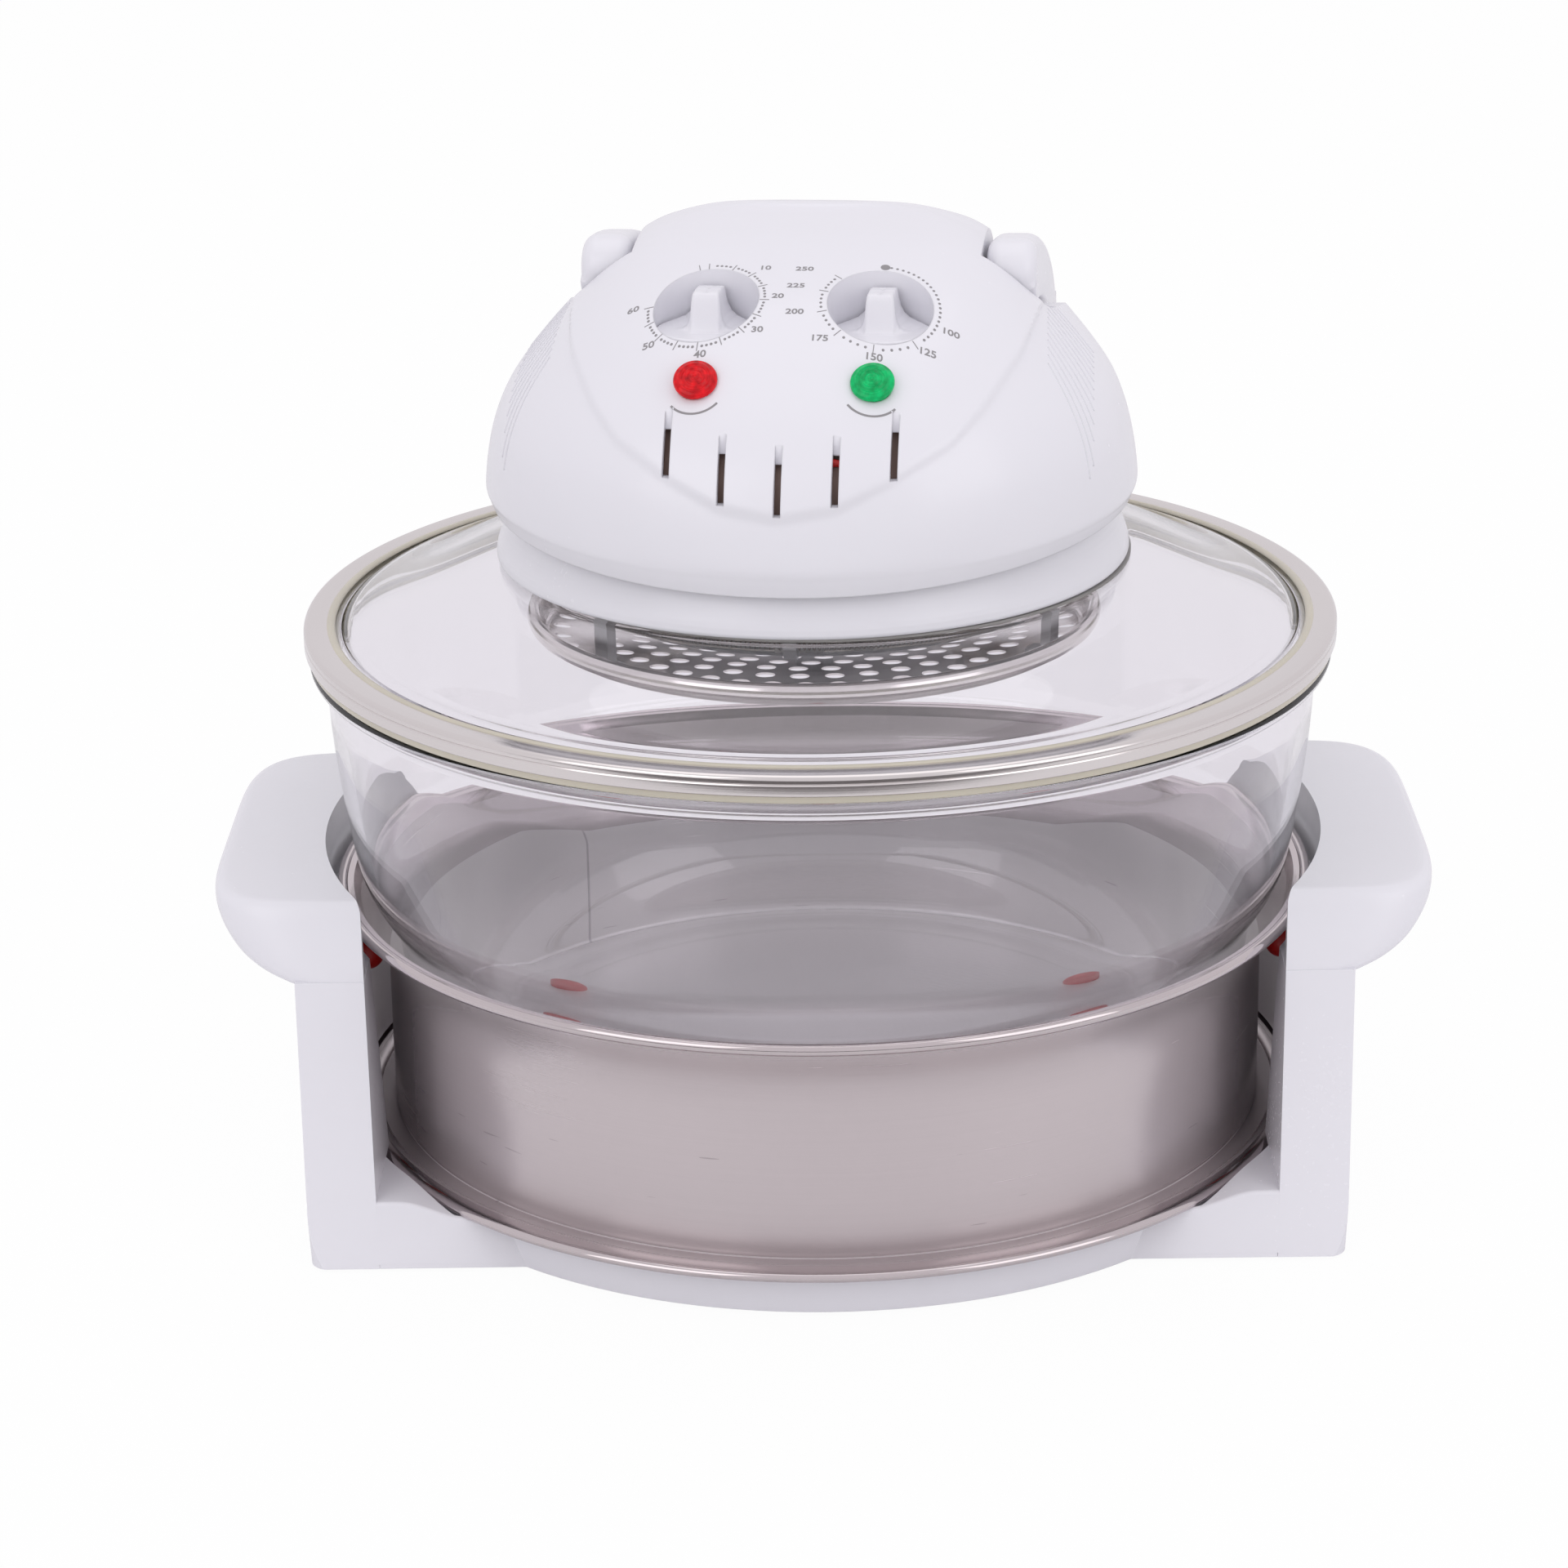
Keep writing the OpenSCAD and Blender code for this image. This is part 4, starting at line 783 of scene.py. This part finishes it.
def makeKnob(node, body):
    low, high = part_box(node)
    centre = knobPlace(node)
    r, edge, half, foot, bottom = knob["r"], knob["round"], knob["half"], knob["foot"], low.z * 1000
    disc = high.z * 1000 - knob["grip"]
    flat = r - edge
    flank = np.array([(0, 1)] + [(half + x, share) for x, share in knob["flank"]])
    along = np.array(knob["along"])
    few, many, outer = knob["columns"]
    columns = np.concatenate([np.linspace(0, half - 1, few), np.linspace(half - 1, half + 4, many),
                              flat * np.sin(np.linspace(0.5, math.pi / 2, outer))])
    columns = np.unique(columns.round(4))
    columns = columns[columns <= flat]
    columns[-1] = flat * 0.9999
    xs = np.concatenate([-columns[:0:-1], columns])
    rows = np.sin(np.linspace(-math.pi / 2, math.pi / 2, knob["rows"]))

    def top(x, y):
        # the grip stands on the rear half, its front end steep and its flanks wider behind
        beyond = max(0.0, abs(x) - half) / (1 + max(0.0, y) / knob["widen"])
        mark = knob["mark"] * math.exp(-(x / knob["markHalf"]) ** 2) * (knob["markFrom"] < y < knob["markTo"])
        shape = np.interp(min(abs(x), half) + beyond, *flank.T) * np.interp(y, *along.T)
        return disc + knob["grip"] * shape - mark

    points, faces = [], []
    for x in xs:
        reach = math.sqrt(max(0.0, flat * flat - x * x))
        points += [(x, t * reach, top(x, t * reach)) for t in rows]
    n, m = len(xs), len(rows)
    for i in range(0, (n - 1) * m, m):
        faces += [(i + j, i + m + j, i + m + j + 1, i + j + 1) for j in range(m - 1)]
    loop = [i * m for i in range(n)] + [i * m + m - 1 for i in range(n - 1, -1, -1)]
    sweep = [(flat + edge * math.sin(a), disc - edge * (1 - math.cos(a)))
             for a in np.linspace(0.3, math.pi / 2, 5)]
    sweep += [(r, bottom + foot), (r - foot, bottom), (knob["hub"], bottom)]
    last = loop
    for reach, z in sweep:
        start = len(points)
        for k in loop:
            x, y = points[k][0], points[k][1]
            far = math.hypot(x, y)
            points.append((x / far * reach, y / far * reach, z))
        now = list(range(start, len(points)))
        faces += list(zip(last, last[1:] + last[:1], now[1:] + now[:1], now))
        last = now
    faces.append(tuple(last))
    made = newPiece(body + "Knob", points, faces)
    made.data.transform(headTurn @ Matrix.Translation((centre.x / 1000, centre.y / 1000, 0)))
    tidy(made, 50)
    settle(made, body, "white_plastic", node)


makeKnob("timer_knob", "timer_dial")
makeKnob("thermostat_knob", "thermostat_dial")
print("knobs shaped")

# Carry handle

carry = {"round": 5.0, "steps": 8, "gripEnd": [(0.2, 5.5), (0.6, 7.2), (1.6, 8.4), (3.4, 9)],
         # how far round the underside reaches, where along the arm that grows, and its share of the rounding
         "under": 0.3, "underGrows": 0.9, "growFrom": 40, "growRun": 30, "underRound": 0.3}


def pillow(name, outline, x0, x1, rounding, steps):
    # an outline drawn out across the width, its edges rounded
    p = np.array(outline, float)
    run = np.roll(p, -1, 0) - np.roll(p, 1, 0)
    run /= np.linalg.norm(run, axis=1)[:, None]
    inward = np.column_stack([-run[:, 1], run[:, 0]])
    turn = np.sum(p[:, 0] * np.roll(p[:, 1], -1) - np.roll(p[:, 0], -1) * p[:, 1])
    inward *= np.sign(turn)
    share = np.clip((p[:, :1] - carry["growFrom"]) / carry["growRun"], 0, 1)
    edge = carry["under"] - carry["underGrows"] * share
    inward *= np.where(inward[:, 1:] > edge, carry["underRound"], 1)
    layers = [(x0 + rounding * (1 - math.cos(a)), rounding * (1 - math.sin(a)))
              for a in np.linspace(0, math.pi / 2, steps)]
    layers += [(x0 + x1 - x, inset) for x, inset in layers[::-1]]
    rings = [[(x, *(q + inset * n)) for q, n in zip(p, inward)] for x, inset in layers]
    return tidy(skin(name, rings, True), 40)


def makeCarryHandle():
    over, under = armSides(0)
    pivot, mid = head["pivot"], head["arm"] / 2

    def finer(path, step=1.2):
        p = np.array(path)
        far = np.concatenate([[0], np.cumsum(np.linalg.norm(np.diff(p, axis=0), axis=1))])
        t = np.linspace(0, far[-1], int(far[-1] / step))
        return [(np.interp(q, far, p[:, 0]), np.interp(q, far, p[:, 1])) for q in t]

    start, stop = np.array(over[-1]), np.array(under[0])
    half = np.linalg.norm(stop - start) / 2
    heading = math.degrees(math.atan2(*(start - stop)[::-1]))
    outline = finer(over) + arc((start + stop) / 2, half, half, heading, heading - 180, 16)[1:-1]
    outline += finer(under) + arc(pivot, mid, mid, armAngle() + 175, armAngle() + 5, 26)
    near = head["ridge"] + head["gap"]
    far = near + head["armWidth"]
    made = pillow("carryHandle", outline, near, far, carry["round"], carry["steps"])
    other = pillow("otherArm", outline, -far, -near, carry["round"], carry["steps"])
    y, z = head["grip"][0], head["grip"][1] + 2
    ends = carry["gripEnd"]
    profile = [(-far + x, r) for x, r in ends] + [(far - x, r) for x, r in ends[::-1]]
    rings = [[(x, y + r * math.cos(a), z + r * math.sin(a)) for a in turnSteps(64)] for x, r in profile]
    combine(made, [other, tidy(skin("grip", rings), 40)], "UNION")
    made.data.transform(headTurn)
    tidy(made, 40)
    settle(made, "handle", "white_plastic", "carry_handle")
    print("carry handle shaped,", len(made.data.polygons), "faces")


makeCarryHandle()

# Side handles

cap = {"low": 84, "height": 25, "legX": 164, "legIn": 142, "reach": 33.5, "depth": 232, "lean": 0.4,
       "bore": 164.6, "square": 5, "innerSquare": 9, "inset": 4, "innerHalf": 12, "around": 200, "sharp": 40,
       # height share, reach share and depth lost
       "form": [(0, 0.42, 0), (0.1, 0.62, 0), (0.25, 0.79, 0), (0.45, 0.91, 0), (0.65, 0.98, 0), (0.82, 1, 0),
                (0.92, 0.985, 0.4), (0.98, 0.93, 1.2), (1, 0.86, 2.6)]}
base = {"lean": 0.05, "from": 2, "into": 1.2, "clear": 160.6, "toeLow": 2.3, "toeMiddle": 8, "toeHigh": 15.6,
        "toeIn": 92.2, "toeEdge": 1.6, "pastLeg": 1.2, "shoulderHigh": 20.5, "shoulderX": 114,
        "shoulderRun": 22, "proud": 0.06, "leastTop": 0.2, "sections": 60}


def frontOf(z):
    return cap["depth"] / 2 - cap["lean"] * z


def makeCap(side, node, name):
    a = turnSteps(cap["around"])
    c, s = np.cos(a), np.sin(a)
    q = np.where(c > 0, 2 / cap["square"], 2 / cap["innerSquare"])
    middle = cap["legIn"] + cap["inset"]
    rings = []
    for share, reach, lost in smoothRows(cap["form"], 7):
        z = cap["low"] + min(share, 1) * cap["height"]
        out, back = cap["legX"] + reach * cap["reach"], frontOf(z) - lost
        span = np.where(c > 0, out - middle, cap["innerHalf"])
        x = middle + np.sign(c) * abs(c) ** q * span
        rings.append(np.column_stack([side * x, back * np.sign(s) * abs(s) ** q, np.full(len(a), z)]))
    made = tidy(skin(name, rings), cap["sharp"])
    # its inner corners follow the upright's lean
    slope, low = base["lean"], cap["low"]
    foot = cap["legIn"] + slope * (low - base["from"])
    inward = [(80, low - 4), (foot - 4 * slope, low - 4), (foot + 30 * slope, low + 30), (80, low + 30)]
    wedge = tidy(skin("wedge", [[(side * x, y, z) for x, z in inward] for y in (-120, 120)]))
    combine(made, [rod("bore", cap["bore"], 0, 200, count=320), wedge])
    tidy(made, cap["sharp"])
    settle(made, "base", "white_plastic", node)
    made.data.materials[0] = finishes["moulded_plastic"]


makeCap(-1, "left_handle_cap", "leftHandle")
makeCap(1, "right_handle_cap", "rightHandle")
print("side handles shaped")

# Lamps

lamp = {"rings": 4, "ringed": 0.8, "ringHigh": 0.22, "edgeTop": 1.2, "dome": 1.7}


def makeLens(side, slot, node):
    r, top = head["lampR"], lamp["edgeTop"]
    section = [(0, -6), (r - 0.9, -6), (r - 0.9, 0.6), (r, 0.6), (r, top), (r - 0.25, top + 0.5)]
    for t in np.linspace(0.94, 0.0, 60):
        dome = top + lamp["dome"] * math.sqrt(1 - (0.97 * t) ** 2)
        wave = lamp["ringHigh"] * math.cos(t * math.tau * lamp["rings"])
        section.append((r * t, dome + wave * (t < lamp["ringed"])))
    made = turned(slot.replace("_lens", "Lens"), section, 72)
    x, y, z = head["lamp"]
    made.data.transform(headTurn @ Matrix.Translation((side * x / 1000, y / 1000, z / 1000))
                        @ Matrix.Rotation(math.radians(head["lampTilt"]), 4, "X"))
    tidy(made, 50)
    settle(made, "lid", slot, node)


makeLens(-1, "red_lens", "power_lens")
makeLens(1, "green_lens", "heat_lens")
print("lamps made")

# Printed dial marks, laid on the housing

# A tick's angle, and the step of the four dots after it
scale = [(310, 8.2), (268, 7.7), (229, 6.4), (197, 6.1), (166.5, 5.3)]
dials = {
    "timer_knob": {"r": 18.1, "dots": [90 - 4.56 * n for n in range(1, 61) if n % 5],
                   "ticks": [93.5, 103] + [90 - 4.56 * n for n in range(5, 61, 5)],
                   "numbers": {10: (-10.4, -31.6), 20: (-4.9, -46.6), 30: (-9.8, -61.2), 40: (-26.6, -68.8),
                               50: (-43.4, -62.0), 60: (-50.2, -45.6)}},
    "thermostat_knob": {"r": 18.4, "off": [90], "ticks": [140, 166.5, 197, 229, 268, 310],
                        "dots": [84 - 5.85 * n for n in range(22)]
                        + [start - step * n for start, step in scale for n in range(1, 5)],
                        "numbers": {250: (2.0, -32), 225: (0.2, -41.2), 200: (1.0, -53.8), 175: (9.6, -64.2),
                                    150: (26.6, -69), 125: (42.6, -63.4), 100: (49.0, -53.8)}},
}
marks = {"length": 3.0, "thick": 0.12, "text": 3.4, "bold": 0.06, "stretch": (1.12, 0.9, 1),
         "width": {"dots": 0.44, "ticks": 0.26, "off": 1.5}, "proud": 0.00002}  # the last in metres
smile = {"radii": (9.0, 9.7), "from": -140, "to": -40, "count": 41, "drop": 1.6, "proud": 0.06, "away": 30}


def markTree():
    graph, enter = geometryTree("printedMarks", [
        ("Centre", "Vector", (0, 0, 0)), ("Length", "Float", 0.003), ("Width", "Float", 0.0003),
        ("Thickness", "Float", 0.0001), ("Round", "Bool", False), ("Surface", "Object", None)])
    spot = graph.node("GeometryNodeInputPosition")
    out = graph.vector("SUBTRACT", spot, enter["Centre"])
    turn = graph.node("FunctionNodeAlignRotationToVector", {"axis": "X"}, {"Vector": out})
    size = graph.node("ShaderNodeCombineXYZ", {}, {
        0: enter["Length"], 1: enter["Width"], 2: enter["Thickness"]})
    line = graph.node("GeometryNodeMeshCube", {}, {"Size": size, "Vertices X": 5})
    dot = graph.node("GeometryNodeMeshCylinder", {}, {
        "Vertices": 14, "Radius": enter["Width"], "Depth": enter["Thickness"]})
    shape = graph.node("GeometryNodeSwitch", {"input_type": "GEOMETRY"}, {
        0: enter["Round"], 1: line, 2: dot})
    points = graph.node("GeometryNodeMeshToPoints", {}, {0: enter["Geometry"]})
    laid = graph.node("GeometryNodeInstanceOnPoints", {}, {
        "Points": points, "Instance": shape, "Rotation": turn})
    real = graph.node("GeometryNodeRealizeInstances", {}, {0: laid})
    x, y, z = graph.parts(spot)
    start = graph.node("ShaderNodeCombineXYZ", {}, {0: x, 1: y, 2: 0.4})
    target = graph.node("GeometryNodeObjectInfo", {"transform_space": "ORIGINAL"}, {0: enter["Surface"]})
    mesh = Wire(graph, target.socket.node.outputs["Geometry"])
    cast = graph.node("GeometryNodeRaycast", {"data_type": "FLOAT"}, {
        "Target Geometry": mesh, "Source Position": start, "Ray Direction": (0, 0, -1), "Ray Length": 1.0})
    landed = Wire(graph, cast.socket.node.outputs["Hit Position"])
    raised = graph.vector("ADD", landed, graph.node("ShaderNodeCombineXYZ", {}, {2: z + marks["proud"]}))
    moved = graph.node("GeometryNodeSetPosition", {}, {"Geometry": real, "Position": raised})
    return endTree(graph, moved, finishes["grey_print"])


def onHead(x, y):
    return headTurn @ Vector((x / 1000, y / 1000, 0))


def makeMarks():
    tree = markTree()
    for node, dial in dials.items():
        centre = knobPlace(node)
        for kind, width in marks["width"].items():
            if kind not in dial:
                continue
            places = [onHead(centre.x + dial["r"] * math.cos(math.radians(a)),
                             centre.y + dial["r"] * math.sin(math.radians(a))) * 1000 for a in dial[kind]]
            made = newPiece(node.split("_")[0] + kind.capitalize(), places, [])
            grown(made, tree, {
                "Centre": onHead(centre.x, centre.y), "Length": marks["length"] / 1000, "Width": width / 1000,
                "Thickness": marks["thick"] / 1000, "Round": kind != "ticks", "Surface": housing})
            settle(made, "lid", "grey_print")


def makeNumber(number, x, y):
    name = "number%d" % number
    drawn = bpy.data.curves.new(name, "FONT")
    drawn.body, drawn.size, drawn.extrude = str(number), marks["text"] / 1000, marks["thick"] / 2000
    drawn.align_x, drawn.align_y, drawn.resolution_u = "CENTER", "CENTER", 4
    drawn.offset = marks["bold"] / 1000
    holder = bpy.data.objects.new(name, drawn)
    bpy.context.scene.collection.objects.link(holder)
    bpy.context.view_layer.update()
    mesh = bpy.data.meshes.new_from_object(holder.evaluated_get(bpy.context.evaluated_depsgraph_get()))
    bpy.data.objects.remove(holder)
    with editing(mesh) as work:
        bmesh.ops.scale(work, vec=marks["stretch"], verts=work.verts)
        bmesh.ops.triangulate(work, faces=work.faces)
        for v in work.verts:
            place = headTurn @ Vector((v.co.x + x / 1000, v.co.y + y / 1000, 0))
            start = Vector((place.x * 1000, place.y * 1000, above))
            hit = panel.ray_cast(start, Vector((0, 0, -1)))[0] or panel.find_nearest(start)[0]
            v.co = Vector((place.x, place.y, hit.z / 1000 + v.co.z + marks["proud"]))
    made = bpy.data.objects.new(name, mesh)
    bpy.context.scene.collection.objects.link(made)
    return made


def makeNumbers():
    pieces = []
    for node, dial in dials.items():
        for number, (x, y) in dial["numbers"].items():
            pieces.append(makeNumber(number, x, y))
    made = tidy(joinPieces("dialNumbers", pieces))
    settle(made, "lid", "grey_print")


def makeSmiles():
    # a printed arc under each lamp
    tilt, n = math.radians(head["lampTilt"]), smile["count"]
    across = Vector((1, 0, 0))
    upward = Vector((0, math.cos(tilt), math.sin(tilt)))
    out = Vector((0, -math.sin(tilt), math.cos(tilt)))
    for side, name in ((-1, "leftArc"), (1, "rightArc")):
        lampX, lampY, lampZ = head["lamp"]
        centre = Vector((side * lampX, lampY, lampZ)) - smile["drop"] * upward
        points, faces = [], []
        for t in np.linspace(smile["from"], smile["to"], n):
            a = math.radians(t)
            for r in smile["radii"]:
                spot = centre + across * (r * math.cos(a)) + upward * (r * math.sin(a)) + out * smile["away"]
                start = headTurn @ (spot / 1000) * 1000
                way = -(headTurn.to_3x3() @ out)
                hit, normal, _, _ = panel.ray_cast(start, way)
                points += [hit + normal * smile["proud"], hit - normal * smile["proud"]]
        for b in range(0, 4 * n - 4, 4):
            c = b + 4
            faces += [(b, c, c + 2, b + 2), (b + 1, b + 3, c + 3, c + 1), (b, b + 1, c + 1, c),
                      (b + 2, c + 2, c + 3, b + 3)]
        faces += [(0, 2, 3, 1), (4 * n - 4, 4 * n - 3, 4 * n - 1, 4 * n - 2)]
        made = tidy(newPiece(name, points, faces))
        settle(made, "lid", "grey_print")


# Behind the vents, and the ribs on the head's shoulders

def tube(name, path, r, count=12):
    p = np.array(path, float)
    run = np.gradient(p, axis=0)
    run /= np.linalg.norm(run, axis=1)[:, None]
    side = np.cross(run, (0, 0, 1))
    side /= np.linalg.norm(side, axis=1)[:, None]
    up = np.cross(side, run)
    a = turnSteps(count)
    return skin(name, [q + r * (np.outer(np.cos(a), n) + np.outer(np.sin(a), m))
                       for q, n, m in zip(p, side, up)])


def makeInner():
    # a board with upright grooves and three wires, seen through the vents
    levels = np.array(inner["heights"], float)
    depths = np.array(inner["face"]) + inner["gap"]

    def boardY(x, z):
        return np.interp(z, levels, depths) + inner["curve"] * x * x

    columns = []
    for k, x in enumerate(np.linspace(-inner["half"], inner["half"], inner["columns"])):
        groove = inner["groove"] * (k % 2)
        face = [(x, boardY(x, z) + groove, z) for z in levels]
        columns.append(face + [(x, y + inner["thick"], z) for x, y, z in face[::-1]])
    board = skin("innerBoard", columns)
    board.data.transform(headTurn)
    settle(tidy(board), "lid", "brown_board")
    for start, z, r in inner["wires"]:
        path = []
        for t in np.linspace(0, 1, 30):
            x = start + inner["wireRun"] * t
            level = z + inner["wireWave"] * math.sin(inner["waves"] * t)
            path.append((x, boardY(x, level) - r, level))
        wire = tube("wire", path, r)
        wire.data.transform(headTurn)
        settle(tidy(wire, 60), "lid", "red_silicone")


# Where the ribs start on the shoulder's plan, from the rear one to the front one, and how they run
ribs = {"count": 13, "run": 15, "width": 0.7, "sink": 0.12, "rear": (75.5, 4), "front": (78, -38),
        "turn": 9, "fan": 0.4}


def makeRibs():
    # thin raised lines that run down each shoulder
    (rearX, rearY), (frontX, frontY) = ribs["rear"], ribs["front"]
    for side, name in ((-1, "leftRibs"), (1, "rightRibs")):
        pieces = []
        for k in range(ribs["count"]):
            t = k / (ribs["count"] - 1)
            x0, y0 = (1 - t) * rearX + t * frontX, (1 - t) * rearY + t * frontY
            line = []
            for u in np.linspace(0, 1, 14):
                spot = onPanel(side * (x0 + ribs["run"] * u), y0 - ribs["turn"] * u * (ribs["fan"] + t))
                if spot is not None:
                    line.append(spot - Vector((0, 0, ribs["sink"])))
            if len(line) > 3:
                pieces.append(tube("rib", line, ribs["width"] / 2, 8))
        made = tidy(joinPieces(name, pieces), 60)
        settle(made, "lid", "white_plastic")


makeInner()
makeRibs()
makeMarks()
makeNumbers()
makeSmiles()
print("dial marks printed")

# Base, with softened edges


def softened(node, name, width, angle=38):
    made = frame["nodes"][node].copy()
    made.data = frame["nodes"][node].data.copy()
    made.name = name
    made.parent = None
    bpy.context.scene.collection.objects.link(made)
    for key in list(made.keys()):
        del made[key]
    with editing(made.data) as work:
        bmesh.ops.remove_doubles(work, verts=work.verts, dist=2e-6)
        bmesh.ops.dissolve_limit(work, angle_limit=math.radians(0.6), verts=work.verts, edges=work.edges)
        if "upright" in node:
            for v in work.verts:
                v.co.x += math.copysign(base["lean"] * max(0, v.co.z - base["from"] / 1000), v.co.x)
                if v.co.z > (cap["low"] - 0.5) / 1000:
                    v.co.z += base["into"] / 1000
    made.data.shade_smooth()
    edge = made.modifiers.new("edge", "BEVEL")
    edge.width, edge.segments, edge.limit_method = width, 3, "ANGLE"
    edge.angle_limit = math.radians(angle)
    made.modifiers.new("flat", "WEIGHTED_NORMAL")
    return makePlain(made)


def makeShoulders():
    # a smooth front on each toe of the base, raised beside its upright outside the drum's foot
    low, edge = base["toeLow"], base["toeEdge"]
    turn = np.linspace(0.25, math.pi / 2, 6)
    for side in (-1, 1):
        for end in (-1, 1):
            sections = []
            for x in np.linspace(cap["legIn"] + base["pastLeg"], base["toeIn"], base["sections"]):
                share = min(1, max(0, (x - base["shoulderX"]) / base["shoulderRun"]))
                high = base["toeHigh"] + (base["shoulderHigh"] - base["toeHigh"]) * eased(share)
                levels = (low, base["toeMiddle"], high - edge)
                front = [(frontOf(z) + base["proud"], z) for z in levels]
                y, z = front[-1]
                inside = min(y - edge - base["leastTop"], math.sqrt(base["clear"] ** 2 - x * x))
                rounded = [(y - edge * (1 - math.cos(t)), z + edge * math.sin(t)) for t in turn]
                outline = front + rounded + [(inside, high), (inside, low)]
                sections.append([(side * x, end * b, z) for b, z in outline])
            made = tidy(skin("toeShoulder", sections))
            settle(made, "base", "white_plastic")
            made.data.materials[0] = finishes["moulded_plastic"]


makeShoulders()
for node, name, width in (("left_upright", "leftUpright", 0.0005),
                          ("right_upright", "rightUpright", 0.0005), ("base_ring", "baseRing", 0.0007)):
    made = settle(softened(node, name, width), "base", "white_plastic", node)
    made.data.materials[0] = finishes["moulded_plastic"]
print("base softened")

# The nodes that stay take their finish from the record's slot

shown = {sub["node"]: sub["material_slot"] for sub in frame["record"]["subparts"]}
shown["collar_gasket"] = "grey_seal"
for node, piece in frame["nodes"].items():
    piece.data.materials.clear()
    piece.data.materials.append(finishes[shown[node]])

# Floor, world, lamps and camera

room = {"ambient": 0.83, "slope": 0.02, "most": 0.88, "shade": 0.96, "tableFront": -560,
        "cardWidth": 1500, "cardDepth": 1600, "cardZ": 1, "floor": 3000, "floorZ": -0.1}


def sheet(name, x, front, rear, z):
    return newPiece(name, [(-x, front, z), (x, front, z), (x, rear, z), (-x, rear, z)], [(0, 1, 2, 3)])


def makeRoom():
    size = room["floor"]
    floor = sheet("floor", size, -size, size, room["floorZ"])
    made = Finish("paleFloor", {"Base Color": (0.86, 0.86, 0.865, 1), "Roughness": 0.7})
    glow = made.node("ShaderNodeEmission", {}, {"Color": (1, 1, 1, 1), "Strength": 1.0})
    path = made.node("ShaderNodeLightPath").socket.node
    seen = Wire(made, path.outputs["Is Camera Ray"])
    both = made.node("ShaderNodeMixShader", {}, {
        0: seen * room["shade"], 1: Wire(made, made.shader.outputs[0]), 2: glow})
    made.tree.links.new(both.socket, made.tree.nodes["Material Output"].inputs[0])
    floor.data.materials.append(made.material)

    # a dark card that only the steel and the glass reflect
    front = room["tableFront"]
    beyond = sheet("roomFront", room["cardWidth"], front - room["cardDepth"], front, room["cardZ"])
    dark = Finish("darkRoom", {"Base Color": (0.12, 0.11, 0.11, 1), "Roughness": 0.9})
    beyond.data.materials.append(dark.material)
    beyond.visible_camera = beyond.visible_diffuse = False
    beyond.visible_shadow = beyond.visible_transmission = False

    world = bpy.data.worlds.new("studio")
    world.use_nodes = True
    bpy.context.scene.world = world
    sky = Graph(world.node_tree)
    seen = sky.node("ShaderNodeLightPath", out=0)
    height = sky.parts(sky.node("ShaderNodeTexCoord", out=0))[2]
    dim = (height * room["slope"] + room["ambient"]).maths("MINIMUM", room["most"])
    back = world.node_tree.nodes["Background"]
    tone = sky.node("ShaderNodeMix", {"data_type": "RGBA"}, {
        0: seen, 6: (0.99, 0.965, 1, 1), 7: (1, 1, 1, 1)}, out=2)
    world.node_tree.links.new(tone.socket, back.inputs["Color"])
    world.node_tree.links.new((seen * (1 - dim) + dim).socket, back.inputs["Strength"])


lights = {
    "key": ((-1.5, -1.8, 1.5), 1.6, 8.0),
    "fill": ((1.8, -1.5, 1.3), 1.6, 7.5),
    "above": ((0.0, 0.2, 2.2), 1.8, 5.0),
}


def makeLights():
    for name, (place, size, power) in lights.items():
        made = bpy.data.lights.new(name, "AREA")
        made.shape, made.size, made.energy = "SQUARE", size, power
        holder = bpy.data.objects.new(name, made)
        holder.location = place
        holder.rotation_euler = (Vector((0, 0, 0.15)) - Vector(place)).to_track_quat("-Z", "Y").to_euler()
        bpy.context.scene.collection.objects.link(holder)


camera = {"lens": 100.69, "far": 1.455, "rise": 19.82, "roll": 0.76, "aim": 0.1204, "shift": -47 / 1920}


def makeCamera():
    rise, roll = math.radians(camera["rise"]), math.radians(camera["roll"])
    back = Vector((0, -math.cos(rise), math.sin(rise)))
    right, up = Vector((1, 0, 0)), Vector((0, math.sin(rise), math.cos(rise)))
    side = math.cos(roll) * right - math.sin(roll) * up
    top = math.sin(roll) * right + math.cos(roll) * up
    made = bpy.data.cameras.new("camera")
    made.lens, made.sensor_width, made.shift_x, made.clip_end = camera["lens"], 36, camera["shift"], 50
    holder = bpy.data.objects.new("camera", made)
    place = Vector((0, 0, camera["aim"])) + back * camera["far"]
    holder.matrix_world = Matrix.Translation(place) @ Matrix((side, top, back)).transposed().to_4x4()
    bpy.context.scene.collection.objects.link(holder)
    bpy.context.scene.camera = holder


makeRoom()
makeLights()
makeCamera()
bpy.context.scene.view_settings.view_transform = "Standard"

print("scene ready")
